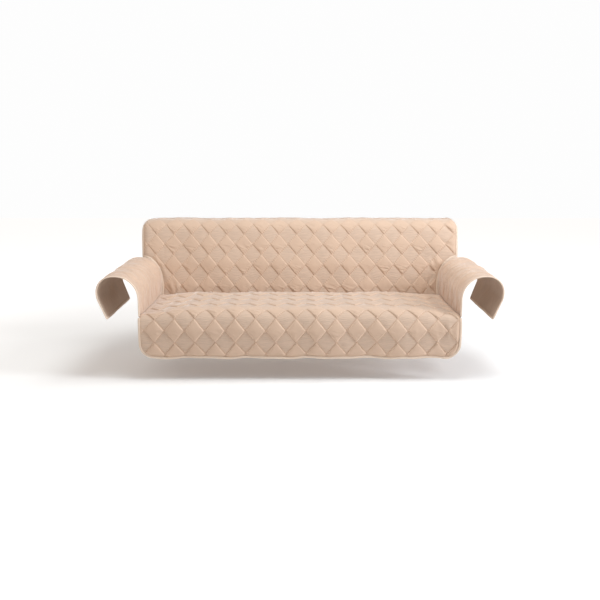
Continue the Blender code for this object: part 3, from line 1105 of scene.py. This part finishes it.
@dataclass(frozen=True)
class QuiltedPiece:
    """A quilted panel as one closed shell: a fine quilted face, a coarser lining, and the rim.

    The grid's columns and rows lie on the stitching lattice, and each cell is split along the
    stitching nearest to it, so every line of stitching runs along edges of the mesh.
    """

    panel: Panel
    quilting: Quilting
    cells: int = 8
    snap: float = 0.34
    held_edge: float = 0.002

    def _steps(self, start: float, end: float, origin: float, step: float) -> Array:
        """The numbers of the lattice's steps that cover a stretch.

        Args:
            start: Where the stretch begins.
            end: Where it ends.
            origin: A place on the lattice.
            step: The lattice's step.

        Returns:
            An odd count of step numbers, so that every second one can be the lining's.
        """
        first = math.floor((start - origin) / step)
        last = math.ceil((end - origin) / step)
        last += (last - first) % 2
        return np.arange(first, last + 1)

    def _clamped(self, places: Array, low: Array, high: Array, step: float) -> Array:
        """Places moved onto an edge that they pass or nearly reach."""
        held = np.where(places < low + self.snap * step, low, places)
        return np.where(places > high - self.snap * step, high, held)

    def shell(self) -> Shell:
        """Build the shell.

        Returns:
            The closed shell, with its flat places and layers.
        """
        panel, quilting = self.panel, self.quilting
        du, ds = quilting.width / 2 / self.cells, quilting.height / 2 / self.cells
        j = self._steps(0.0, panel.length, panel.node, ds)
        rows = self._clamped(panel.node + j * ds, 0.0, panel.length, ds)
        low, high = panel.edges(rows)
        i = self._steps(float(low.min()), float(high.max()), panel.column, du)
        u = self._clamped(panel.column + i * du + 0 * rows[:, None], low[:, None], high[:, None], du)
        s = np.broadcast_to(rows[:, None], u.shape)
        drawn = smooth_step((panel.inside(u, s) - self.held_edge) / quilting.gather_ease)
        across, along = quilting.gathered(u - panel.column, s - panel.node, drawn)
        u, s = u + across, s + along
        under, out = panel.drape(u, s)
        x, y = u - panel.column, s - panel.node
        thickness = quilting.relief(x, y, panel.pressed(u, s, quilting))
        face = under + out * thickness[..., None]
        places = np.stack((x, y, panel.inside(u, s)), axis=-1)
        number = np.arange(u.size).reshape(u.shape)
        coarse = number[::2, ::2] + u.size
        upward = self._facing(face, out)
        ends = (
            (number[0], coarse[0], upward),
            (number[-1], coarse[-1], not upward),
            (number[:, 0], coarse[:, 0], not upward),
            (number[:, -1], coarse[:, -1], upward),
        )
        parts = [self._split(number, i, j, upward), self._split(coarse, i[::2], j[::2], not upward)]
        parts += [self._rim(*end) for end in ends]
        kinds = (Layer.FACE, Layer.LINING) + (Layer.FACE,) * len(ends)
        layers = np.repeat([kind.value for kind in kinds], [len(part) for part in parts])
        points = np.concatenate((face.reshape(-1, 3), under.reshape(-1, 3)))
        stored = np.tile(places.reshape(-1, 3), (2, 1))
        return Shell(points, np.concatenate(parts), layers, stored).merged()

    @staticmethod
    def _facing(face: Array, out: Array) -> bool:
        """True if a cell's corners, taken along u and then s, turn outwards."""
        middle = tuple(n // 2 for n in face.shape[:2])
        here = face[middle]
        along = face[middle[0], middle[1] + 1] - here
        up = face[middle[0] + 1, middle[1]] - here
        return bool(np.cross(along, up) @ out[middle] > 0.0)

    def _split(self, number: NDArray, i: NDArray, j: NDArray, upward: bool) -> NDArray:
        """Split every cell along the slant of the stitching nearest to it.

        Args:
            number: Point numbers on the grid, rows by columns.
            i: Lattice columns.
            j: Lattice rows.
            upward: Whether a cell's corners already turn the right way.

        Returns:
            Triangles as point numbers.
        """
        a, b = number[:-1, :-1], number[:-1, 1:]
        d, c = number[1:, :-1], number[1:, 1:]
        middle_i, middle_j = (i[:-1] + i[1:]) / 2, (j[:-1] + j[1:])[:, None] / 2
        period = 2 * self.cells
        rising = np.abs((middle_i + middle_j + period / 2) % period - period / 2)
        falling = np.abs((middle_i - middle_j + period / 2) % period - period / 2)
        slant = rising < falling
        halves = triangles(a, b, np.where(slant, d, c)), triangles(np.where(slant, b, a), c, d)
        split = np.concatenate(halves)
        return split if upward else split[:, ::-1]

    @staticmethod
    def _rim(line: NDArray, back: NDArray, flip: bool) -> NDArray:
        """Join a fine edge to a coarse one, three triangles for every two fine steps.

        Args:
            line: Point numbers along the face's edge.
            back: Point numbers along the lining's edge, half as many steps.
            flip: Whether to turn the triangles over.

        Returns:
            Triangles as point numbers.
        """
        first, middle, last = line[:-2:2], line[1:-1:2], line[2::2]
        near, far = back[:-1], back[1:]
        joined = np.concatenate(
            (triangles(middle, first, near), triangles(last, middle, far), triangles(middle, near, far))
        )
        return joined[:, ::-1] if flip else joined


@dataclass(frozen=True)
class FoldedEdging:
    """A strip folded over a panel's edge and sewn through: one profile carried along the edge.

    The profile is given as distance out from the cloth's edge and height above its underside. Its
    slot holds the cloth, and the fold stands out beyond the edge.
    """

    step: float = 0.0075
    wobble: float = 0.0005
    shift_scales: Pair = (0.047, 0.021)
    twist_scales: Pair = (0.063, 0.026)
    quick_share: float = 0.6
    lip_reach: float = 0.004
    seed: int = 5
    profile: tuple[Pair, ...] = (
        (-0.0050, -0.0003),
        (0.0004, -0.0003),
        (0.0004, 0.0025),
        (-0.0050, 0.0025),
        (-0.0056, 0.0033),
        (-0.0050, 0.0042),
        (-0.0036, 0.0042),
        (-0.0018, 0.0054),
        (0.0015, 0.0058),
        (0.0045, 0.0050),
        (0.0068, 0.0032),
        (0.0077, 0.0011),
        (0.0068, -0.0008),
        (0.0045, -0.0021),
        (0.0015, -0.0026),
        (-0.0018, -0.0024),
        (-0.0036, -0.0018),
        (-0.0050, -0.0018),
        (-0.0056, -0.0010),
    )

    def shell(self, panel: Panel, start: float, end: float) -> Shell:
        """Carry the profile along the stretch of a panel's edge between two rows.

        Args:
            panel: The panel that is edged.
            start: The least s of the stretch.
            end: The greatest s of the stretch.

        Returns:
            The closed edging, with distance along and across as its flat places.
        """
        outline = panel.outline(self.step)
        keep = (outline[:, 1] > start) & (outline[:, 1] < end)
        ahead = np.roll(outline, -2, axis=0) - np.roll(outline, 2, axis=0)
        normal = np.stack((ahead[:, 1], -ahead[:, 0]), axis=1)
        normal /= np.linalg.norm(normal, axis=1, keepdims=True)
        first = int(np.flatnonzero(keep & ~np.roll(keep, 1))[0])
        order = np.roll(np.arange(len(outline)), -first)[: int(keep.sum())]
        route, normal = outline[order], normal[order]
        along = np.arange(len(route)) * self.step
        sway = np.random.default_rng(self.seed).uniform(0.0, FULL_TURN, 4)
        shift = self._swayed(along, self.shift_scales, sway[:2])
        twist = self._swayed(along, self.twist_scales, sway[2:])
        away, above = np.array(self.profile).T
        outer = np.clip(away / self.lip_reach, 0.0, 1.0)
        away = away + self.wobble * shift[:, None] * outer
        above = above + self.wobble * twist[:, None] * outer
        u = route[:, :1] + normal[:, :1] * away
        s = route[:, 1:] + normal[:, 1:] * away
        points, out = panel.drape(u, s)
        points = points + out * above[..., None]
        places = np.stack(np.broadcast_arrays(along[:, None], np.array(self.profile)[:, 0], 0.0), axis=-1)
        return self._tube(points, places)

    def _swayed(self, along: Array, scales: Sequence[float], starts: Sequence[float]) -> Array:
        """A slow wave along the edging with a quicker, weaker one on it."""
        slow = np.sin(along / scales[0] + starts[0])
        return slow + self.quick_share * np.sin(along / scales[1] + starts[1])

    @staticmethod
    def _tube(points: Array, places: Array) -> Shell:
        """Close rings of points into a tube with capped ends.

        Args:
            points: Rings by points round the ring.
            places: The flat places of the same points.

        Returns:
            The closed shell.
        """
        rings, around = points.shape[:2]
        number = np.arange(rings * around).reshape(rings, around)
        turned = np.roll(number, -1, axis=1)
        hub = rings * around
        faces = np.concatenate(
            (
                triangles(number[:-1], turned[:-1], turned[1:]),
                triangles(number[:-1], turned[1:], number[1:]),
                triangles(hub, turned[0], number[0]),
                triangles(hub + 1, number[-1], turned[-1]),
            )
        )
        every = np.concatenate((points.reshape(-1, 3), points[[0, -1]].mean(axis=1)))
        corners = every[faces]
        volume = np.einsum("ij,ij->i", corners[:, 0], np.cross(corners[:, 1], corners[:, 2])).sum()
        faces = faces if volume > 0.0 else faces[:, ::-1]
        stored = np.concatenate((places.reshape(-1, 3), places[[0, -1]].mean(axis=1)))
        return Shell(every, faces, np.zeros(len(faces), dtype=np.int64), stored)


# ---- Finishes ----


@dataclass(frozen=True)
class Gloss:
    """How a cloth shines: its specular level, and the sheen of its nap."""

    specular: float
    sheen: float
    sheen_roughness: float = 0.5
    sheen_tint: Colour = (1.0, 1.0, 1.0)

    def sockets(self) -> dict[str, SocketValue]:
        """The shader's values by socket."""
        return {
            "Specular IOR Level": self.specular,
            "Sheen Weight": self.sheen,
            "Sheen Roughness": self.sheen_roughness,
            "Sheen Tint": (*self.sheen_tint, 1.0),
        }


class Finish(ABC):
    """A kind of cloth, which makes its own material."""

    def make(self, name: str) -> bpy.types.Material:
        """Build the material.

        Args:
            name: The material's name.

        Returns:
            The finished material.
        """
        return self._filled(Shading(bpy.data.materials.new(name)))

    @abstractmethod
    def _filled(self, shading: Shading) -> bpy.types.Material:
        """Lay out the nodes in an empty tree, and close it."""


@dataclass(frozen=True)
class LatticePlace:
    """Where a point of quilted cloth lies: its flat place, its phases, and how far the seams are."""

    x: Signal
    y: Signal
    from_edge: Signal
    rising: Signal
    falling: Signal
    from_rising: Signal
    from_falling: Signal
    from_seam: Signal

    @classmethod
    def of(cls, shading: Shading, quilting: Quilting) -> "LatticePlace":
        """Read the place that is stored on the mesh.

        Args:
            shading: The material's nodes.
            quilting: The stitching.

        Returns:
            The place, and what the stitching makes of it.
        """
        x, y, from_edge = shading.place()
        rising, falling = quilting.phases(x, y)
        aside = [phase.triangle() * quilting.seam_spacing for phase in (rising, falling)]
        return cls(x, y, from_edge, rising, falling, *aside, aside[0].least(aside[1]))


@dataclass(frozen=True)
class QuiltFinish(Finish):
    """The face of the quilting: a soft brushed cloth, smooth in one diamond and ribbed in the next."""

    quilting: Quilting
    smooth: Colour = (0.625, 0.4505, 0.336)
    ribbed: Colour = (0.615, 0.4580, 0.353)
    # painted shade: the darker colour laid in the seam grooves and in the groove beside the edging
    seam: Colour = (0.500, 0.305, 0.190)
    # painted highlight: a paler colour on the walls of the smooth diamonds just off each seam, where the
    # puffs catch the light
    painted_highlight: Colour = (0.840, 0.690, 0.570)
    seam_reach: float = 0.0030
    seam_share: float = 0.46
    rising_seam_shade_share: float = 0.26
    inner_ease: Pair = (0.002, 0.007)
    painted_highlight_share: float = 0.22
    painted_highlight_place: float = 0.0030
    painted_highlight_reach: float = 0.0026
    groove_depth: float = 0.0004
    # painted shade in the stitched groove beside the edging, a few millimetres in from the panel's edge
    groove_shade_place: float = 0.0070
    groove_shade_reach: float = 0.0030
    groove_shade_share: float = 0.55
    # painted shadow: a dark band along every edge of the face, for the shade in the joints where the panels
    # meet
    tuck: Colour = (0.200, 0.105, 0.062)
    edge_shadow_reach: float = 0.0055
    edge_shadow_share: float = 0.75
    wrinkles: Grain = Grain(16.0, 62.0, 1.5)
    wrinkle_patches: Grain = Grain(9.0, 9.0, start=3.0)
    wrinkle_patch_ease: Pair = (0.42, 0.62)
    wrinkle_lower_ease: Pair = (-0.35, 0.45)
    wrinkle_seam_ease: Pair = (0.003, 0.014)
    wrinkle_slant: float = 0.28
    wrinkle_height: float = 0.0085
    pull_height: float = 0.0
    pull_bend: Grain = Grain(3.0, 3.0)
    pull_bend_reach: float = 0.06
    pulls: Grain = Grain(27.0, 5.0, 1.5)
    stitch_pitch: float = 0.0042
    stitch_ease: Pair = (0.08, 0.20)
    stitch_half: float = 0.0009
    stitch_core: float = 0.4
    stitch_height: float = 0.0004
    stitch_tone: float = 0.03
    pucker_pitch: float = 0.0135
    pucker_reach: float = 0.016
    pucker_start: float = 0.001
    pucker_height: float = 0.00045
    rib_pitch: float = 0.0102
    rib_wander: Grain = Grain(22.0, 9.0)
    rib_wander_turns: float = 2.4
    rib_height: float = 0.00030
    rib_tone: float = 0.030
    streaks: Grain = Grain(14.0, 150.0, 3.0, 0.6)
    streak_height: float = 0.0006
    streak_tone: float = 0.30
    nap: Grain = Grain(34.0, 26.0, 3.0, 0.55)
    nap_height: float = 0.0009
    nap_tone: float = 0.07
    cloud: Grain = Grain(5.0, 6.0)
    cloud_tone: float = 0.10
    thread_pitch: float = 0.0011
    thread_stretch: float = 0.55
    thread_height: float = 0.00007
    thread_tone: float = 0.08
    base_tone: float = 0.865
    base_roughness: float = 0.84
    nap_roughness: float = 0.12
    gloss: Gloss = Gloss(0.45, 1.0, 0.30, (1.0, 0.99, 0.985))

    def _filled(self, shading: Shading) -> bpy.types.Material:
        """The brushed face of the quilting."""
        at = LatticePlace.of(shading, self.quilting)
        x, y = at.x, at.y
        ribbed = 1.0 - ((at.rising.floor() + at.falling.floor()) / 2.0).triangle() * 2.0
        inner = at.from_seam.rise(*self.inner_ease)
        stitches = self._stitches(at.from_rising, at.falling).most(
            self._stitches(at.from_falling, at.rising)
        )
        wander = shading.grain(self.rib_wander, x, y) * self.rib_wander_turns
        ribs = ((y / self.rib_pitch + wander) * FULL_TURN).sine()
        streaks = shading.grain(self.streaks, x, y)
        nap = shading.grain(self.nap, x, y)
        cloud = shading.grain(self.cloud, x, y)
        threads = shading.noise(
            x / self.thread_pitch * self.thread_stretch, y / self.thread_pitch, detail=1.0
        )
        tone = self.base_tone + cloud * self.cloud_tone + nap * self.nap_tone + threads * self.thread_tone
        tone = tone + (streaks - 0.5) * ribbed * inner * self.streak_tone
        tone = tone + (ribs * ribbed * inner) * self.rib_tone + stitches * self.stitch_tone
        colour = shading.shade(self._colour_with_painted_light(shading, at, ribbed, inner), tone)
        line = at.from_seam.rise(self.seam_reach, 0.0)
        puckers = self._puckers(at.from_rising, at.falling) + self._puckers(at.from_falling, at.rising)
        relief = stitches * self.stitch_height - line * self.groove_depth + puckers * self.pucker_height
        relief = relief + ribs * ribbed * inner * self.rib_height + (nap - 0.5) * self.nap_height * inner
        relief = relief + (streaks - 0.5) * ribbed * inner * self.streak_height
        relief = relief + threads * self.thread_height + self._wrinkled(shading, at, ribbed)
        if self.pull_height:
            bent = x + shading.grain(self.pull_bend, x, y) * self.pull_bend_reach
            relief = relief + shading.grain(self.pulls, bent, y) * self.pull_height
        roughness = self.base_roughness + nap * self.nap_roughness
        return shading.finish(colour, relief, self.gloss.sockets(), roughness)

    def _colour_with_painted_light(self, shading: Shading, at: LatticePlace, ribbed: Signal, inner: Signal) -> Signal:
        """The cloth's colours: two kinds of diamond, with painted highlight and painted shade by the seams
        and a painted shadow at the edges.

        Args:
            shading: The material's nodes.
            at: The place on the stitching.
            ribbed: 1 in a ribbed diamond, 0 in a smooth one.
            inner: 0 at the seams, 1 clear of them.

        Returns:
            The colour.
        """
        colour = shading.mix(ribbed * inner, self.smooth, self.ribbed)
        # Painted highlight on the smooth diamonds' walls next to the seams.
        painted_highlight = (at.from_seam - self.painted_highlight_place).size().rise(self.painted_highlight_reach, 0.0) * (1.0 - ribbed)
        colour = shading.mix(painted_highlight * self.painted_highlight_share, colour, self.painted_highlight)
        # Painted shade along the seam grooves, stronger on the falling slant, which the light leaves darker,
        # than on the rising one.
        drawn = (at.from_falling.rise(self.seam_reach, 0.0) * self.seam_share).most(
            at.from_rising.rise(self.seam_reach, 0.0) * self.rising_seam_shade_share
        )
        colour = shading.mix(drawn, colour, self.seam)
        # Painted shade in the groove where the edging is sewn on.
        sewn = (at.from_edge - self.groove_shade_place).size().rise(self.groove_shade_reach, 0.0)
        colour = shading.mix(sewn * self.groove_shade_share, colour, self.seam)
        # Painted shadow along the panel's edges.
        return shading.mix(at.from_edge.rise(self.edge_shadow_reach, 0.0) * self.edge_shadow_share, colour, self.tuck)

    def _wrinkled(self, shading: Shading, at: LatticePlace, ribbed: Signal) -> Signal:
        """Small slanted wrinkles, in patches, in the lower part of the smooth diamonds."""
        cosine, sine = math.cos(self.wrinkle_slant), math.sin(self.wrinkle_slant)
        slanted_x, slanted_y = at.x * cosine + at.y * sine, at.y * cosine - at.x * sine
        lower = (at.rising - at.rising.floor()) - (at.falling - at.falling.floor())
        patchy = shading.grain(self.wrinkle_patches, at.x, at.y).rise(*self.wrinkle_patch_ease)
        shown = lower.rise(*self.wrinkle_lower_ease) * patchy * (1.0 - ribbed)
        shown = shown * at.from_seam.rise(*self.wrinkle_seam_ease)
        return (shading.grain(self.wrinkles, slanted_x, slanted_y) - 0.5) * shown * self.wrinkle_height

    def _stitches(self, away: Signal, along: Signal) -> Signal:
        """Short raised threads on one slant of the stitching, from the distance to it and along it."""
        dash = (along * (self.quilting.side / self.stitch_pitch)).triangle().rise(*self.stitch_ease)
        return dash * away.rise(self.stitch_half, self.stitch_half * self.stitch_core)

    def _puckers(self, away: Signal, along: Signal) -> Signal:
        """Small gathers square to one slant of the stitching, which fade away from it."""
        wave = (along * (self.quilting.side / self.pucker_pitch * FULL_TURN)).sine()
        return wave * away.rise(self.pucker_reach, self.pucker_start)


@dataclass(frozen=True)
class LiningFinish(Finish):
    """The plain underside, with the same stitching showing as fine lines."""

    quilting: Quilting
    cloth: Colour = (0.560, 0.425, 0.330)
    seam: Colour = (0.400, 0.280, 0.205)
    thread_pitch: float = 0.0012
    thread_height: float = 0.00010
    seam_reach: float = 0.0022
    seam_share: float = 0.6
    groove_depth: float = 0.0006
    cloud: Grain = Grain(14.0, 14.0, 3.0)
    cloud_height: float = 0.0008
    cloud_tone: float = 0.16
    base_tone: float = 0.92
    gloss: Gloss = Gloss(0.2, 0.1)

    def _filled(self, shading: Shading) -> bpy.types.Material:
        """The plain underside."""
        at = LatticePlace.of(shading, self.quilting)
        line = at.from_seam.rise(self.seam_reach, 0.0)
        weave = FULL_TURN / self.thread_pitch
        threads = (at.x * weave).sine() * (at.y * weave).sine()
        cloud = shading.grain(self.cloud, at.x, at.y)
        colour = shading.mix(line * self.seam_share, self.cloth, self.seam)
        colour = shading.shade(colour, self.base_tone + cloud * self.cloud_tone)
        relief = threads * self.thread_height - line * self.groove_depth + cloud * self.cloud_height
        return shading.finish(colour, relief, self.gloss.sockets())


@dataclass(frozen=True)
class EdgingFinish(Finish):
    """The folded edging: a fine diagonal weave, small gathers, and one row of stitches near its lip."""

    cloth: Colour = (0.790, 0.640, 0.520)
    thread: Colour = (0.600, 0.440, 0.330)
    stitch_line: float = -0.0034
    stitch_pitch: float = 0.0042
    stitch_ease: Pair = (0.08, 0.2)
    stitch_height: float = 0.0006
    stitch_tone: float = 0.12
    row_ease: Pair = (0.0011, 0.0003)
    row_share: float = 0.55
    row_depth: float = 0.0005
    twill_pitch: float = 0.0016
    twill_height: float = 0.00006
    twill_tone: float = 0.02
    gather_pitch: float = 0.0110
    gather_wander: Grain = Grain(30.0, 60.0)
    gather_wander_reach: float = 7.0
    gather_height: float = 0.00022
    cloud: Grain = Grain(12.0, 120.0, 3.0)
    cloud_tone: float = 0.14
    base_tone: float = 0.90
    gloss: Gloss = Gloss(0.25, 0.25, 0.4)

    def _filled(self, shading: Shading) -> bpy.types.Material:
        """The folded strip."""
        along, across, _ = shading.place()
        row = (across - self.stitch_line).size().rise(*self.row_ease)
        dash = (along / self.stitch_pitch).triangle().rise(*self.stitch_ease)
        twill = ((along + across) * (FULL_TURN / self.twill_pitch)).sine()
        wander = shading.grain(self.gather_wander, along, across) * self.gather_wander_reach
        gathers = (along * (FULL_TURN / self.gather_pitch) + wander).sine()
        cloud = shading.grain(self.cloud, along, across)
        tone = self.base_tone + cloud * self.cloud_tone + twill * self.twill_tone
        colour = shading.mix(row * self.row_share, self.cloth, self.thread)
        colour = shading.shade(colour, tone + row * dash * self.stitch_tone)
        relief = twill * self.twill_height + gathers * self.gather_height
        relief = relief + row * (dash * self.stitch_height - self.row_depth)
        return shading.finish(colour, relief, self.gloss.sockets())


# ---- The slipcover ----


@dataclass
class Slipcover:
    """The whole cover: its panels, its edgings, and the finishes that dress them."""

    quilting: Quilting = field(default_factory=Quilting)
    main_form: MainForm = field(default_factory=MainForm)
    arm_form: ArmForm = field(default_factory=ArmForm)
    edging: FoldedEdging = field(default_factory=FoldedEdging)
    front_edging_start: float = 0.010
    back_edging_end: float = 0.020
    # the arms' cloth: one colour for both kinds of diamond, painted a little lighter than the face's cloth
    # to make up for the less light that reaches the arms
    arm_cloth_painted_lighter: Colour = (0.652, 0.468, 0.350)
    arm_pull: float = 0.0030
    arm_sheen: float = 0.75

    def __post_init__(self) -> None:
        """Measure the panels and mix the finishes."""
        self.main = MainPanel(self.main_form)
        self.arms = {side: ArmPanel(self.arm_form, self.main, side) for side in Side}
        quilt = QuiltFinish(self.quilting)
        gloss = replace(quilt.gloss, sheen=self.arm_sheen)
        # The arms take the lighter painted copy of the cloth colour.
        even = {"smooth": self.arm_cloth_painted_lighter, "ribbed": self.arm_cloth_painted_lighter}
        pulled = replace(quilt, **even, pull_height=self.arm_pull, gloss=gloss)
        face, lining = quilt.make("quilted_cloth"), LiningFinish(self.quilting).make("lining_cloth")
        self.cloths = (face, lining)
        self.arm_cloths = (pulled.make("quilted_arm_cloth"), lining)
        self.edging_cloths = (EdgingFinish().make("edging_cloth"),)

    def build(self) -> None:
        """Build every panel with its edgings, and attach each piece to the part in place of its node."""
        main = self.main
        front = self._edging("binding_tongue", main, main.front + self.front_edging_start, math.inf)
        back = self._edging("binding_back", main, -math.inf, main.crevice - self.back_edging_end)
        self._panel("main_panel", main, self.cloths)
        for side, arm in self.arms.items():
            name = side.name.lower()
            edging = self._edging(f"binding_arm_{name}", arm, self.edging.step / 2, math.inf)
            self._panel(f"arm_panel_{name}", arm, self.arm_cloths)

    def _panel(
        self,
        node: str,
        panel: Panel,
        cloths: Sequence[bpy.types.Material],
    ) -> None:
        """Args:
            node: The node that it stands for.
            panel: The panel.
            cloths: The materials of its face and its lining.
        """
        piece = QuiltedPiece(panel, self.quilting).shell().to_object(f"quilted_{node}", cloths)
        self._attach(piece, node, "quilted_cloth")
        flat = (panel.widest(), panel.length)
        panel.flat_area()

    def _edging(self, node: str, panel: Panel, start: float, end: float) -> bpy.types.Object:
        """Build one edging.

        Args:
            node: The node that it stands for.
            panel: The panel that it edges.
            start: The least s of the stretch.
            end: The greatest s of the stretch.

        Returns:
            The piece.
        """
        shell = self.edging.shell(panel, start, end)
        piece = shell.to_object(f"folded_{node}", self.edging_cloths)
        self._attach(piece, node, "edging_cloth")
        return piece

    @staticmethod
    def _attach(piece: bpy.types.Object, node: str, slot: str) -> None:
        """Let a piece ride with the part and stand for its node."""
        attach(piece, "root")
        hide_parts(node)


# ---- The studio ----


@dataclass(frozen=True)
class Softbox:
    """A rectangular studio light: where it stands, where it points, its size and its power."""

    name: str
    place: Place
    size: Pair
    power: float
    colour: Colour = (1.0, 1.0, 1.0)
    target: Place = (0.0, -0.4, -0.4)

    def build(self) -> None:
        """Put the light into the scene."""
        light = bpy.data.lights.new(self.name, "AREA")
        light.shape = "RECTANGLE"
        light.size, light.size_y = self.size
        light.energy = self.power
        light.color = self.colour
        lamp = added(self.name, light)
        lamp.location = self.place
        aim = Vector(self.target) - lamp.location
        lamp.rotation_euler = aim.to_track_quat("-Z", "Y").to_euler()


@dataclass(frozen=True)
class Studio:
    """A pale floor, an even surround, soft lights and the camera."""

    floor_height: float = 0.0
    floor_half: float = 14.0
    paper: Colour = (0.88, 0.88, 0.88)
    near_glow: float = 0.10
    far_glow: float = 0.665
    glow_reach: Pair = (1.0, 4.5)
    sky: float = 0.385
    sky_colour: Colour = (1.0, 0.925, 0.87)
    seen_sky: Colour = (0.985, 0.985, 0.985)
    grains_per_metre: float = 300.0
    grain_share: float = 0.04
    grain_height: float = 0.00005
    lights: tuple[Softbox, ...] = (
        Softbox("key", (3.6, -1.9, 2.8), (1.0, 1.0), 53.0, (0.94, 0.97, 1.0)),
        Softbox("side", (4.2, -1.8, 1.2), (1.1, 1.1), 75.0, (0.84, 0.905, 1.0)),
        Softbox("top", (0.6, -0.9, 2.9), (2.6, 1.2), 76.0, (0.93, 0.985, 1.0)),
        Softbox("left", (-3.0, -1.4, 2.4), (1.6, 1.6), 19.0, (1.0, 0.90, 0.80)),
        Softbox("rear", (-1.6, 4.2, 2.2), (2.5, 2.0), 44.0),
    )
    camera_place: Place = (0.0, -3.7, 1.13)
    camera_pitch: float = 10.3
    focal_pixels: float = 685.0
    image_pixels: float = 600.0
    film_width: float = 36.0
    seen_distances: Pair = (0.05, 100.0)

    def build(self) -> None:
        """Put the floor, the sky, the lights and the camera into the scene."""
        self._floor()
        self._sky()
        for light in self.lights:
            light.build()
        self._camera()
        bpy.context.scene.view_settings.view_transform = "Standard"

    def _floor(self) -> None:
        """A wide flat floor of pale paper, which isn't part of the object."""
        half, height = self.floor_half, self.floor_height - float(ORIGIN[2])
        corners = [(x * half, y * half, height) for x, y in ((-1, -1), (1, -1), (1, 1), (-1, 1))]
        mesh = bpy.data.meshes.new("floor")
        mesh.from_pydata(corners, [], [(0, 1, 2, 3)])
        shading = Shading(bpy.data.materials.new("pale_paper"))
        object_place = shading.out(shading.node("ShaderNodeTexCoord"), "Object")
        split = shading.node("ShaderNodeSeparateXYZ", None, {"Vector": object_place})
        x, y = shading.out(split, "X"), shading.out(split, "Y")
        grain = shading.noise(x * self.grains_per_metre, y * self.grains_per_metre)
        away = (x * x + y * y).power(0.5).rise(*self.glow_reach)
        paper = shading.mix(grain * self.grain_share, self.paper, (1.0, 1.0, 1.0))
        fixed = {
            "Emission Color": shading.mix(away, (self.near_glow,) * 3, (self.far_glow,) * 3),
            "Emission Strength": 1.0,
            "Specular IOR Level": 0.1,
        }
        mesh.materials.append(shading.finish(paper, grain * self.grain_height, fixed))
        added("floor", mesh)

    def _sky(self) -> None:
        """An even surround: nearly white to the eye, dimmer and a little warmer as a light."""
        world = bpy.data.worlds.new("surround")
        bpy.context.scene.world = world
        shading = Shading(world)
        lit = {"Color": (*self.sky_colour, 1.0), "Strength": self.sky}
        light = shading.out(shading.node("ShaderNodeBackground", None, lit), 0)
        seen = shading.out(shading.node("ShaderNodeBackground", None, {"Color": (*self.seen_sky, 1.0)}), 0)
        by_eye = shading.out(shading.node("ShaderNodeLightPath"), "Is Camera Ray")
        mixed = shading.node("ShaderNodeMixShader", None, {0: by_eye, 1: light, 2: seen})
        shading.node("ShaderNodeOutputWorld", None, {"Surface": shading.out(mixed, 0)})

    def _camera(self) -> None:
        """The camera: level across, pitched a little down, square to the cover's front."""
        data = bpy.data.cameras.new("camera")
        data.sensor_width = self.film_width
        data.lens = self.focal_pixels / self.image_pixels * data.sensor_width
        data.clip_start, data.clip_end = self.seen_distances
        camera = added("camera", data)
        camera.location = tuple(np.array(self.camera_place) - ORIGIN)
        camera.rotation_euler = (math.radians(90.0 - self.camera_pitch), 0.0, 0.0)
        bpy.context.scene.camera = camera


def main() -> None:
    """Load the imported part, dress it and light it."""
    logging.basicConfig(level=logging.INFO, format="%(message)s")
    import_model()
    Slipcover().build()
    Studio().build()
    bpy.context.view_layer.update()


if __name__ == "__main__":
    main()
